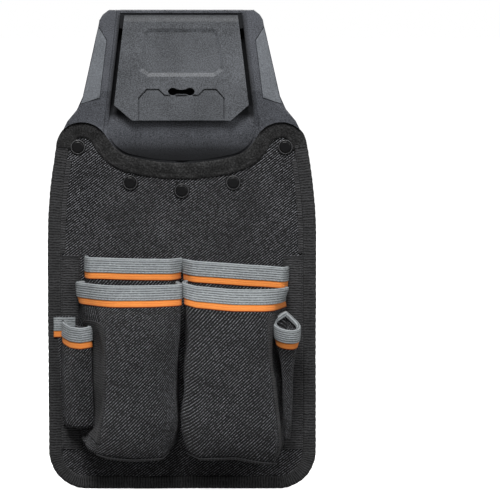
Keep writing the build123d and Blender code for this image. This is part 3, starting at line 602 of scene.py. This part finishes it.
def make_side_webbing():
    """Ribbed strips that the pockets are sewn on, with their folded ends."""
    from_edge = np.minimum(np.arange(13), np.arange(13)[::-1])
    for side in ("left", "right"):
        low, high = panel_box(f"side_webbing_{side}")
        xs = np.linspace(low[0], high[0], 13)
        heights = np.arange(low[2], high[2] + 0.01, RIB_BLACK / 6)
        level = heights[:, None]
        rise = 0.28 * np.abs(np.sin(level * pi / RIB_BLACK)) + 0.25 * bumpy(xs, 0, level, 17, 31)
        rise = (rise + 0.05 * np.minimum(from_edge, 3)) * (from_edge > 0)
        grid = upright(xs + 0.35 * bumpy(0, 0, level, 40, 32), low[1] - rise, heights)
        cloth(f"side_web_{side}", grid, xs - xs[0], heights, BLACK_WEB, 0.9,
              f"side_webbing_{side}")
        xs = np.linspace(low[0], high[0], 24)
        fold = np.broadcast_arrays(xs, low[1] - 0.55, high[2] - 0.3 + 0.25 * bumpy(xs, 0, 0, 9, 33))
        tube(f"side_web_{side}_fold", np.transpose(fold), 0.5)


UPPER_TAPE = 4.2          # width of the thin tapes above the webbing strips
UPPER_RIB = 2.3


def make_upper_tapes():
    low, high = panel_box("upper_side_tapes")
    right = PANEL_LOOP[PANEL_LOOP[:, 0] > 60]
    right = right[np.argsort(right[:, 1])]
    across = np.linspace(0, UPPER_TAPE, 6)
    heights = np.arange(low[2], high[2] + 0.01, 0.4)
    edge = (np.interp(heights, right[:, 1], right[:, 0]) - BINDING - 0.4)[:, None]
    for side, name in ((-1, "upper_tape_left"), (1, "upper_tape_right")):
        xs = side * (edge - (UPPER_TAPE - across if side > 0 else across))
        rise = 0.3 * np.abs(np.sin(heights * pi / UPPER_RIB))
        rise += 0.2 * bumpy(side * (high[0] - 1), 0, heights, 6, 41)
        grid = upright(xs, low[1] - rise[:, None] * (0.3, 1, 1, 1, 1, 0.3), heights)
        cloth(name, grid, across, heights, BLACK_WEB, 0.8, "upper_side_tapes")


# ---- pockets
GUSSET, CORNER, FACE = 15, 12, 56          # points along each part of a pocket's plan outline
COLUMNS = 2 * GUSSET + 2 * CORNER + FACE - 4
ALL = slice(None)


def towards(start, end, distance):
    step = end - start
    return start + step * min(distance / np.linalg.norm(step), 0.45)


def quarter(start, corner, end, count):
    t = np.linspace(0, 1, count)[:, None]
    return (1 - t) ** 2 * start + 2 * t * (1 - t) * corner + t**2 * end


def through(start, middle, end):
    """Smooth run along a gusset from start to end by way of middle."""
    return quarter(start, 2 * middle - (start + end) / 2, end, GUSSET)


class Pocket:
    """Open-topped pocket: plan outlines at several heights, with its bottom and rim lines.

    A section is (height, back left, mid left, front left, front right, mid right, back right, bow, left
    radius, right radius); points are (x, depth) and the gussets pass through the mid points. bottom and rim
    give the real height of both edges at some x."""

    def __init__(self, name, node, sections, bottom, rim, wrinkle, seed, tuck=3.5):
        self.name = name
        self.node = node
        self.heights = [s[0] for s in sections]
        self.rows = [np.hstack(s[1:]) for s in sections]
        self.low, self.high = self.heights[0], self.heights[-1]
        self.bottom = np.array(bottom, float).T
        self.rim = np.array(rim, float).T
        self.wrinkle = wrinkle
        self.seed = seed
        self.tuck = tuck

    def plan(self, height):
        """(x, depth) points of the wall at a nominal height, from the left seam round to the right seam."""
        values = along(self.heights, self.rows, height)
        back_left, mid_left, front_left, front_right, mid_right, back_right = values[:12].reshape(6, 2)
        bow, left_radius, right_radius = values[12:]
        left_in = towards(front_left, mid_left, left_radius)
        left_out = towards(front_left, front_right, left_radius)
        right_out = towards(front_right, front_left, right_radius)
        right_in = towards(front_right, mid_right, right_radius)
        path = np.vstack([
            through(back_left, mid_left, left_in),
            quarter(left_in, front_left, left_out, CORNER)[1:],
            np.linspace(left_out, right_out, FACE)[1:],
            quarter(right_out, front_right, right_in, CORNER)[1:],
            through(right_in, mid_right, back_right)[1:],
        ])
        share = np.clip((path[:, 0] - front_left[0]) / (front_right[0] - front_left[0]), 0, 1)
        share[:GUSSET - 1] = share[1 - GUSSET:] = 0
        path[:, 1] -= bow * np.sin(pi * share)
        return path

    def grid(self, heights, lifts=0.0, columns=ALL):
        """Grid of wall points at nominal heights, each row pushed outwards by its lift."""
        rows = []
        for height, lift in np.broadcast(heights, lifts):
            path = self.plan(min(height, self.high))
            bottom = np.interp(path[:, 0], *self.bottom)
            rim = np.interp(path[:, 0], *self.rim)
            share = (height - self.low) / (self.high - self.low)
            near_rim = min(1.0, max(0.0, (height - self.high) / 25 + 1.8))
            level = (bottom + share * (rim - bottom)) * (1 - near_rim) + (rim - self.high + height) * near_rim
            tuck = self.tuck * (1 - sin(min(1.0, max(0.0, (height - self.low) / 5)) * pi / 2))
            push = lift - tuck + self.crease(*path.T, level)
            path = path + path_normals(path) * push[:, None]
            rows.append(np.column_stack([path, level])[columns])
        return np.array(rows)

    def crease(self, x, depth, height):
        """Waves and folds of the cloth, which fade towards the rim's webbing."""
        fade = np.clip((self.high - 12 - height) / 40, 0.25, 1.0)
        big = bumpy(x, depth, height, 42, self.seed) * 1.9
        middle = bumpy(x + 0.35 * height, depth, height * 0.55, 17, self.seed + 1) * 1.15
        small = bumpy(x - 0.5 * height, depth, height * 0.6, 8, self.seed + 2) * 0.22
        return self.wrinkle * (big + middle + small) * fade


def wall_u(grid):
    """Distance along each row of a wall, from its middle column."""
    runs = np.array([lengths(row) for row in grid])
    return runs - runs[:, [grid.shape[1] // 2]]


def make_walls(pocket):
    """Face and gussets of a pocket as separate cloth pieces."""
    spans = {"gusset_left": slice(0, GUSSET + 2), "face": slice(GUSSET + 1, COLUMNS - GUSSET - 1),
             "gusset_right": slice(COLUMNS - GUSSET - 2, COLUMNS)}
    heights = np.linspace(pocket.low, pocket.high, int((pocket.high - pocket.low) / 2) + 1)
    for part, span in spans.items():
        grid = pocket.grid(heights, 0.0 if part == "face" else -0.25, span)
        cloth(f"{pocket.name}_{part}_cloth", grid, wall_u(grid), heights, POCKET_CLOTH, 1.3,
              f"{pocket.node}_{part}")


GREY_LIFT, ORANGE_LIFT = 0.75, 0.35        # how far the ribbons stand off the cloth
GREY_RIDGE, ORANGE_RIDGE = 0.42, 0.16      # height of their ribs


def ribbon_profile(width, rib, lift, rib_height):
    """Heights below a ribbon's top and lifts of its rows, from its lower edge upwards."""
    count = int(round(width / rib))
    steps = np.linspace(0, width, count * 6 + 1)
    lifts = lift + rib_height * np.sqrt(np.abs(np.sin(steps / width * count * pi)))
    lifts[0] = lift - 0.5
    return width - steps, lifts


def rib_wobble(row, seed):
    """Small unevenness of a sewn ribbon's height along its run."""
    return 0.28 * bumpy(row[:, 0], row[:, 1], 0, 21, seed + 7)[:, None] * (0, 0, 1)


def make_trim(pocket, nodes, columns=ALL, closed=False):
    """Grey ribbon folded over the rim, with the orange ribbon's edge below it."""
    below, lifts = ribbon_profile(GREY_HEIGHT, RIB_GREY, GREY_LIFT, GREY_RIDGE)
    turn = np.linspace(0, pi, 8)
    inner = np.array([0.8, 1.6, 2.4])
    rows_below = np.concatenate([below, -0.9 * np.sin(turn), inner])
    rows_lift = np.concatenate([lifts, -0.75 + 1.6 * np.cos(turn), [-2.35] * 3])
    v = np.concatenate([GREY_HEIGHT - below, GREY_HEIGHT + np.arange(1, 9) * 0.4, GREY_HEIGHT + 3 + inner])
    grid = pocket.grid(pocket.high - rows_below, rows_lift, columns)
    grid += rib_wobble(grid[0], pocket.seed)
    cloth(f"{pocket.name}_grey_trim", grid, wall_u(grid), v, GREY_WEB, 0.55, nodes[0],
          closed)

    below, lifts = ribbon_profile(ORANGE_WIDTH, RIB_ORANGE, ORANGE_LIFT, ORANGE_RIDGE)
    grid = pocket.grid(pocket.high - GREY_HEIGHT + TRIM_LAP - below, lifts, columns)
    grid += rib_wobble(grid[0], pocket.seed)
    cloth(f"{pocket.name}_orange_trim", grid, wall_u(grid), ORANGE_WIDTH - below, ORANGE_WEB, 0.5,
          nodes[1], closed=closed)


def make_bottom(pocket, node):
    """Cloth bottom that sags a little between the walls."""
    edge = pocket.grid([pocket.low])[0]
    middle = np.array([edge[:, 0].mean(), (edge[:, 1].min() + edge[[0, -1], 1].mean()) / 2, edge[:, 2].mean()])
    share = np.linspace(0.96, 0, 12)[:, None, None]
    grid = edge + (middle - edge) * share - 1.6 * np.sin(share * pi / 2) * (0, 0, 1)
    flat = grid.reshape(-1, 3)
    faces = grid_faces(*grid.shape[:2], closed=True)
    piece = new_piece(f"{pocket.name}_bottom_cloth", flat, faces, flat[:, :2], POCKET_CLOTH, 1.2)
    declare(node)


def make_edge_band(pocket, node, span):
    """Ribbed black webbing sewn up a pocket's outer front corner."""
    low, high = panel_box(node)
    heights = np.arange(low[2], high[2], RIB_BLACK / 6)
    grid = pocket.grid(heights, 0.55 + 0.28 * np.abs(np.sin(heights * pi / RIB_BLACK)), span)
    across = np.linspace(-1, 1, grid.shape[1])
    near_top = np.linspace(0, 1, len(heights))[:, None] ** 12
    grid[:, :, 2] -= 5.0 * near_top * (1 - np.sqrt(1 - 0.95 * across**2))
    cloth(f"{pocket.name}_edge_web", grid, wall_u(grid), heights, BLACK_WEB, 0.7, node)


REAR_LEFT = Pocket(
    "rear_left", "rear_pocket_left",
    [(32, (-77, -5.4), (-75.5, -10), (-73, -15), (-8, -15), (-4.6, -10.4), (-2.4, -5.4), 2, 4, 4),
     (110, (-77, -5.4), (-75, -11.5), (-72, -18), (-8, -18), (-4.4, -11.8), (-2.0, -5.4), 3, 4, 4),
     (165, (-75.5, -5.4), (-74.5, -12.5), (-72, -20), (-9, -19), (-4.4, -12.2), (-1.2, -6.0), 3.5, 4, 5),
     (182, (-75, -5.4), (-74.2, -12.5), (-72, -20), (-10, -18), (-4.4, -12), (-0.2, -6.5), 3.0, 3, 6)],
    [(-77, 34), (-2, 34)], [(-78, 182.6), (-60, 182.3), (-40, 181.8), (-14, 181.2), (0, 180.9)],
    wrinkle=0.5, seed=50)
REAR_RIGHT = Pocket(
    "rear_right", "rear_pocket_right",
    [(32, (2.4, -5.4), (4.6, -10.4), (8, -15), (73, -15), (75.5, -10), (77, -5.4), 2, 4, 4),
     (110, (2.0, -5.4), (4.4, -11.8), (8, -18), (74, -18), (77, -12), (79, -6.2), 3, 4, 4),
     (165, (1.6, -6.0), (4.8, -12.6), (9, -19), (78, -19), (80.6, -12.6), (82, -6.6), 3.5, 5, 4),
     (182, (1.0, -6.5), (5, -12.4), (10, -18), (79, -19), (81.5, -12.8), (82.6, -6.6), 3.0, 6, 3)],
    [(2, 34), (77, 34)], [(0, 180.0), (12, 179.4), (40, 177.9), (62, 176.3), (83, 174.2)],
    wrinkle=0.5, seed=54)
FRONT_LEFT = Pocket(
    "front_left", "front_pocket_left",
    [(28, (-79, -6.6), (-77, -28), (-63, -47), (-9.5, -47), (-6, -33), (-4, -22), 5, 5, 6),
     (42, (-79, -6.6), (-68, -27), (-63, -51), (-3.5, -50), (-3, -36), (-2.8, -22), 8, 6, 9),
     (80, (-80, -6.6), (-65.5, -27), (-60, -50), (-3.2, -49), (-3, -36), (-2.6, -22), 9, 5, 12),
     (120, (-82, -6.6), (-67, -26), (-59, -48), (0, -47), (-2, -35), (-2.6, -22), 8, 5, 13),
     (142, (-80, -7.0), (-76, -23), (-60.5, -45), (0.3, -45.5), (-1.2, -34), (-2.6, -22), 6, 11, 12),
     (153, (-76, -8.5), (-80.3, -17), (-62, -43.5), (0.5, -44.5), (-1.0, -33), (-2.6, -22), 4.5, 16, 8),
     (164, (-76, -8.5), (-81.2, -16), (-63, -42), (0.6, -44), (-0.6, -33), (-2.6, -22), 4, 18, 4)],
    [(-80, 44), (-76, 35), (-65, 31), (-55, 29), (-40, 28), (-14, 28.5), (-3, 37)],
    [(-84, 163.3), (-62, 163.2), (-30, 163.7), (0, 164.3)],
    wrinkle=1.0, seed=60)
FRONT_RIGHT = Pocket(
    "front_right", "front_pocket_right",
    [(28, (4, -22), (5.5, -34), (7, -46), (75, -46), (76, -28), (79.5, -6.6), 6, 6, 6),
     (42, (2.8, -22), (1, -36), (-0.6, -50), (78, -50), (76.5, -28), (80.5, -6.6), 9, 8, 7),
     (80, (2.6, -22), (1.6, -36), (1.0, -50), (73.5, -49), (73.5, -27), (81, -6.6), 10, 8, 6),
     (120, (2.6, -22), (3, -35), (3.6, -48), (68.6, -47), (72.5, -26), (82, -6.6), 8, 8, 5),
     (150, (2.6, -22), (2.8, -34), (3.0, -45.5), (69.5, -44), (77, -24), (81, -7.5), 5, 6, 12),
     (164, (2.6, -22), (1.5, -33), (1.8, -44), (70, -40), (82.5, -18), (78, -9), 4, 4, 18)],
    [(-1, 40), (6, 32), (14, 28.5), (42, 30), (62, 25.5), (73, 24), (79, 30)],
    [(0, 165.8), (12, 163.0), (40, 160.7), (70, 159.8), (84, 159.1)],
    wrinkle=1.0, seed=66)
SIDE = Pocket(
    "side", "side_pocket",
    [(50, (-92, -8), (-91, -15), (-85.5, -22), (-66.5, -25), (-72, -18), (-79, -8), 2, 4, 4),
     (90, (-94, -8), (-92.5, -16), (-87.2, -24), (-67.5, -27), (-74, -19), (-81, -8), 3, 4, 4),
     (129, (-94, -8), (-92, -17), (-87.4, -25.5), (-67.7, -28.5), (-75, -20), (-82, -8), 3.5, 5, 5)],
    [(-95, 50), (-66, 51)], [(-95, 134), (-90.5, 131), (-86, 129.2), (-78, 128.6), (-67.7, 130.4)],
    wrinkle=0.5, seed=72, tuck=1.0)


RIGHT_CORNER = GUSSET + CORNER + FACE - 3  # first column of a pocket's right front corner


def make_pockets():
    for pocket in (REAR_LEFT, REAR_RIGHT, FRONT_LEFT, FRONT_RIGHT, SIDE):
        make_walls(pocket)
        make_bottom(pocket, "side_pocket_bottom" if pocket is SIDE else "pocket_bottoms")
        if pocket is SIDE:
            make_trim(pocket, ("side_pocket_trims", "side_pocket_stripes"), slice(GUSSET - 9, 1 - GUSSET))
        else:
            make_trim(pocket, (f"{pocket.node}_trim", f"{pocket.node}_stripe"))
    for pocket in (FRONT_LEFT, FRONT_RIGHT):
        seam = pocket.grid([pocket.low + 2.0], 0.9, slice(GUSSET, -GUSSET))[0]
        tube(f"{pocket.name}_bottom_seam", seam, 0.85, flat=0.8)
    make_edge_band(FRONT_LEFT, "pocket_edge_band_left", slice(4, GUSSET + CORNER // 2))
    make_edge_band(FRONT_RIGHT, "pocket_edge_band_right", slice(RIGHT_CORNER + 4, RIGHT_CORNER + CORNER + 4))


SIDE_BACK_DROP = 0.8      # how far the ribbons behind the side pocket's mouth sit below its cloth's top edge


def make_side_back():
    """Cloth behind the side pocket's mouth, with its own trims."""
    low, high = panel_box("side_pocket_back")
    columns = np.linspace(low[0], high[0] + 2.5, 10)
    heights = np.linspace(low[2], high[2], 40)
    xs = np.linspace(low[0] + 2 + 0.06 * (high[2] - heights), columns[-1], 10, axis=1)
    grid = upright(xs, low[1] - 0.1 - 0.3 * bumpy(xs, 0, heights[:, None], 15, 80), heights)
    cloth("side_back_cloth", grid, columns, heights, CLOTH, 1.0, "side_pocket_back")
    top = high[2] - SIDE_BACK_DROP
    for colour, width, rib, lift, ridge, material, node in (
        ("grey", GREY_HEIGHT, RIB_GREY, GREY_LIFT, 0.32, GREY_WEB, "side_pocket_trims"),
        ("orange", ORANGE_WIDTH, RIB_ORANGE, ORANGE_LIFT, ORANGE_RIDGE, ORANGE_WEB, "side_pocket_stripes"),
    ):
        below, lifts = ribbon_profile(width, rib, lift, ridge)
        grid = upright(columns, low[1] - lifts[:, None] - 0.3 * bumpy(columns, 0, top, 15, 80), top - below)
        cloth(f"side_back_{colour}_trim", grid, columns, width - below, material, 0.55,
              node)
        top += TRIM_LAP - GREY_HEIGHT


# ---- tool loop
class Loop:
    """Teardrop sleeve: its point is at the back, where it is sewn on."""

    def __init__(self):
        self.name = "tool_loop"
        self.seed = 90
        low, high = panel_box("tool_loop_sleeve")
        self.low, self.high = low[2], high[2]
        self.heights = [self.low, self.low + 22, self.high - 28, self.high - 18, self.high - 8, self.high]
        # Middle (x, depth), half width and half depth at each height
        self.rows = [(82.0, -25.0, 2.6, 2.6), (82.0, -26.0, 3.6, 3.4), (81.8, -30.0, 5.8, 5.5),
                     (81.5, -32.0, 7.6, 7.0), (81.4, -33.5, 9.6, 9.5), (81.2, -34.0, 10.2, 10.5)]
        angles = np.linspace(0, 2 * pi, 60, endpoint=False) + pi / 2
        self.cos, self.sin = np.cos(angles), np.sin(angles)
        self.tilt = 2.1 - 1.75 * self.cos + 5.6 * self.sin - 0.8 * np.cos(2 * angles)

    def grid(self, heights, lifts=0.0, _=ALL):
        """Grid of points like a pocket's, with a rim that rises towards the back."""
        back = np.maximum(0, self.sin)
        rows = []
        for height, lift in np.broadcast(heights, lifts):
            x, depth, across, deep = along(self.heights, self.rows, min(height, self.high))
            path = np.column_stack([x + across * self.cos * (1 - 0.5 * back**1.5),
                                    depth + deep * self.sin * (1 + 0.3 * back**4)])
            rise = self.tilt * max(0.0, (height - self.low) / (self.high - self.low)) ** 2
            crease = 0.35 * bumpy(*path.T, height, 9, self.seed)
            path = path + loop_normals(path) * (lift + crease)[:, None]
            rows.append(np.column_stack([path, height + rise]))
        return np.array(rows)


def make_tool_loop():
    loop = Loop()
    heights = np.linspace(loop.low, loop.high, 60)
    cloth("tool_loop_face_cloth", loop.grid(heights), np.linspace(0, 48, 60), heights, POCKET_CLOTH, 1.1,
          "tool_loop_sleeve", closed=True)
    make_trim(loop, ("tool_loop_trim", "tool_loop_stripe"), closed=True)
    low, high = panel_box("tool_loop_tab")
    heights = np.linspace(low[2], high[2], 30)
    depths = np.linspace(high[1], low[1], 10)
    xs = high[0] - 2.6 - np.linspace(0, 1.6, 10) + 0.4 * bumpy(0, depths, heights[:, None], 12, 95)
    cloth("tool_loop_tab_cloth", upright(xs, depths, heights), depths, heights, CLOTH, 1.2,
          "tool_loop_tab")


# ---- stitches
# Rings of a stitch: (place along it, share of its radius)
STITCH_RINGS = ((-0.5, 0.25), (-0.36, 0.9), (0.0, 1.0), (0.36, 0.9), (0.5, 0.25))


def stitches(name, runs, material, length=2.3, pitch=3.3, radius=0.28):
    """Rows of sewn stitches; a run is (points, outward vectors) in the panel frame."""
    turns = np.linspace(0, 2 * pi, 6, endpoint=False)
    grid = []
    for path, outward in runs:
        run = lengths(path)
        for start in np.arange(pitch / 2, run[-1] - pitch / 2, pitch):
            centre, ahead = read_at([start, start + 0.5], run, path)
            out = read_at(start, run, outward)
            direction = (ahead - centre) / np.linalg.norm(ahead - centre)
            side = np.cross(direction, out)
            for offset, size in STITCH_RINGS:
                grid.append([centre + direction * offset * length + side * cos(turn) * radius * size
                             + out * (sin(turn) * radius * size - 0.44 * abs(offset)) for turn in turns])
    points = np.array(grid).reshape(-1, 3)
    one = grid_faces(5, 6, closed=True) + [(5, 4, 3, 2, 1, 0), (24, 25, 26, 27, 28, 29)]
    faces = [tuple(first + k for k in face) for first in range(0, len(points), 30) for face in one]
    new_piece(name, points, faces, points[:, [0, 2]], material)


def on_panel(path, depth):
    """Run of (x, height) points on the panel's front, with forward vectors."""
    points = np.column_stack([path[:, 0], np.full(len(path), depth), path[:, 1]])
    return points, np.tile([0.0, -1.0, 0.0], (len(path), 1))


def make_stitches():
    side, side_normal = edge_part(False)
    neck, neck_normal = edge_part(True)
    runs = [on_panel(side - side_normal * 5.6, TAPE_FRONT - 0.05),
            on_panel(neck - neck_normal * 7.8, TAPE_FRONT - 0.25)]
    for name in ("left", "right"):
        (left, front, bottom), (right, _, top) = panel_box(f"side_webbing_{name}")
        for start, end, count in (((left + 1.6, bottom + 1), (left + 1.6, top - 1), 60),
                                  ((right - 1.6, bottom + 1), (right - 1.6, top - 1), 60),
                                  ((left + 1, top - 2), (right - 1, top - 2), 12)):
            runs.append(on_panel(np.linspace(start, end, count), front - 0.45))
    stitches("panel_stitches", runs, THREAD)
    rows = []
    clear = slice(3, -3)
    for pocket in (REAR_LEFT, REAR_RIGHT, FRONT_LEFT, FRONT_RIGHT, SIDE):
        wobble = rib_wobble(pocket.grid([pocket.high], 0.0, clear)[0], pocket.seed)
        for height in (pocket.high - GREY_HEIGHT + 1.1, pocket.high - 1.6):
            out = path_normals(pocket.plan(height)[clear])
            rows.append((pocket.grid([height], 1.15, clear)[0] + wobble, np.insert(out, 2, 0, axis=1)))
    stitches("trim_stitches", rows, GREY_THREAD, 2.0, 2.9, 0.2)


# ---- hard parts
RIM_RADIUS, RIM_THICKNESS = 5.2, 0.32
RIVET_BLACK = moulded("rivet_lacquer", (0.004, 0.004, 0.0045), 0.3, 0.5, 0.02, 0.3)
# The rims' lighter colour is a painted highlight on the washers' edges.
RIM_PAINTED_HIGHLIGHT = moulded("rim_lacquer_painted_highlight", (0.07, 0.07, 0.073), 0.3, 0.5, 0.02, 0.6)
GRIP = moulded("grip_plastic_grain", (0.135, 0.145, 0.16), 0.5, 0.9, 0.16)
LATCH = moulded("latch_plastic_grain", (0.03, 0.03, 0.032))
PIN = steel("pin_steel", (0.55, 0.55, 0.56), 0.3)
SPRING = steel("spring_steel_wire", (0.6, 0.6, 0.61), 0.25)
HARD = {                  # material, and width of the softened edges
    "bracket": (moulded("bracket_plastic_grain", (0.074, 0.078, 0.089), 0.5, 0.8, specular=0.26,
                        shade=scoop_shade), 0.45),
    "grip_insert_left": (GRIP, 0.3),
    "grip_insert_right": (GRIP, 0.3),
    "front_plate": (moulded("plate_plastic_grain", (0.082, 0.087, 0.096), 0.5, 0.8, shade=plate_shade), 0.4),
    "lock_lug": (moulded("lug_plastic_grain", (0.05, 0.052, 0.056)), 0.2),
    "rivets": (RIVET_BLACK, 0.2),
    "rivet_washers": (RIVET_BLACK, 0.5),
    "stiffener_board": (moulded("board_plastic", (0.04, 0.04, 0.042), 0.7), 0.0),
    "clip_housing": (moulded("clip_plastic_grain", (0.13, 0.135, 0.14)), 0.3),
    "belt_arm": (moulded("arm_plastic_grain", (0.07, 0.07, 0.075)), 0.4),
    "belt_grip_pad": (moulded("grip_rubber_grain", (0.025, 0.025, 0.026), 0.75, 0.6, 0.06), 0.15),
    "gate_latch": (LATCH, 0.12),
    "latch_catch": (LATCH, 0.1),
    "spring_tongue": (moulded("tongue_plastic_grain", (0.12, 0.125, 0.13), 0.45), 0.2),
    "hinge_pin": (PIN, 0.15),
    "tongue_pin": (PIN, 0.1),
    "arm_springs": (SPRING, 0.0),
    "latch_springs": (SPRING, 0.0),
}


def make_rivet_rims():
    """Rolled rims of the washers under the rivet caps, lighter than the caps as a painted highlight on the
    washers' edges.
    """
    front = panel_box("rivet_washers")[0][1] + 0.05
    turn = np.linspace(0, 2 * pi, 40, endpoint=False)
    around = np.linspace(0, 2 * pi, 9)[:, None]
    out = RIM_RADIUS + RIM_THICKNESS * np.cos(around)
    depth = front - RIM_THICKNESS * np.sin(around)
    for k, (x, height) in enumerate(RIVETS):
        grid = np.dstack(np.broadcast_arrays(x + out * np.cos(turn), depth, height + out * np.sin(turn)))
        rim = grid_piece(f"rivet_rim_{k + 1}", grid, turn, np.arange(9) * 0.3, RIM_PAINTED_HIGHLIGHT, closed=True)


def dress_hard_parts():
    """Materials and softened edges for the moulded and metal parts."""
    for name, (material, bevel) in HARD.items():
        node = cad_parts[name]
        node.data.materials.clear()
        node.data.materials.append(material)
        if bevel:
            weld = node.modifiers.new("joined", "WELD")
            weld.merge_threshold = 0.01 * MM
            soft = node.modifiers.new("soft_edges", "BEVEL")
            soft.width = bevel * MM
            soft.segments = 3
            soft.limit_method = "ANGLE"
            soft.angle_limit = radians(35)
            soft.harden_normals = False
            smooth = node.modifiers.new("face_normals", "WEIGHTED_NORMAL")
            smooth.keep_sharp = True


# ---- stage
WORLD_LIGHT = 0.2         # the background is white for the camera and this bright for the object
LIGHTS = (                # name, place, size, power
    ("key", (-0.15, -1.2, 1.35), (0.7, 0.7), 38),
    ("fill", (1.2, -1.3, 0.75), (0.9, 0.9), 10),
    ("back", (0.3, 1.5, 0.8), (1.2, 1.0), 14),
)
LIT = Vector((0.0, -0.03, -0.13))          # where the lights point
LOOKED_AT = Vector(PANEL_ORIGIN) + Vector((0.053, -0.006, 0.18764))
CAMERA_AWAY = 2.5
CAMERA_UP = radians(6)
FLOOR_HALF = 9.0


def placed(name, data, place, target):
    """Light or camera at a place, turned to its target."""
    made = new_object(name, data)
    made.location = place
    made.rotation_euler = (target - Vector(place)).to_track_quat("-Z", "Y").to_euler()
    return made


def make_floor():
    mesh = bpy.data.meshes.new("floor")
    level = CAD_BOX[0].z - 0.0005
    corners = [(x * FLOOR_HALF, y * FLOOR_HALF, level) for x, y in ((-1, -1), (1, -1), (1, 1), (-1, 1))]
    mesh.from_pydata(corners, [], [(0, 1, 2, 3)])
    net = Net("floor_paint", (0.9, 0.9, 0.9), 0.9, 0.1)
    net.shader.inputs["Emission Color"].default_value = (1, 1, 1, 1)
    net.shader.inputs["Emission Strength"].default_value = 0.92
    mesh.materials.append(net.material)
    floor = new_object("floor", mesh)
    floor.visible_diffuse = floor.visible_glossy = False


def make_studio():
    world = bpy.data.worlds.new("studio")
    bpy.context.scene.world = world
    world.use_nodes = True
    nodes, links = world.node_tree.nodes, world.node_tree.links
    background = nodes["Background"]
    background.inputs[0].default_value = (1, 1, 1, 1)
    strength = nodes.new("ShaderNodeMapRange")
    strength.inputs["To Min"].default_value = WORLD_LIGHT
    strength.inputs["To Max"].default_value = 1.0
    links.new(nodes.new("ShaderNodeLightPath").outputs["Is Camera Ray"], strength.inputs["Value"])
    links.new(strength.outputs[0], background.inputs[1])

    for name, place, size, power in LIGHTS:
        light = bpy.data.lights.new(name, "AREA")
        light.shape = "RECTANGLE"
        light.size, light.size_y = size
        light.energy = power
        placed(name, light, place, LIT)

    camera = bpy.data.cameras.new("camera")
    camera.sensor_width = 36
    camera.lens = 231.3
    away = Vector((0, -cos(CAMERA_UP), sin(CAMERA_UP))) * CAMERA_AWAY
    bpy.context.scene.camera = placed("camera", camera, LOOKED_AT + away, LOOKED_AT)
    bpy.context.scene.view_settings.view_transform = "Standard"


make_panel()
make_bindings()
make_side_webbing()
make_upper_tapes()
make_pockets()
make_side_back()
make_tool_loop()
make_stitches()
make_rivet_rims()
dress_hard_parts()
make_floor()
make_studio()
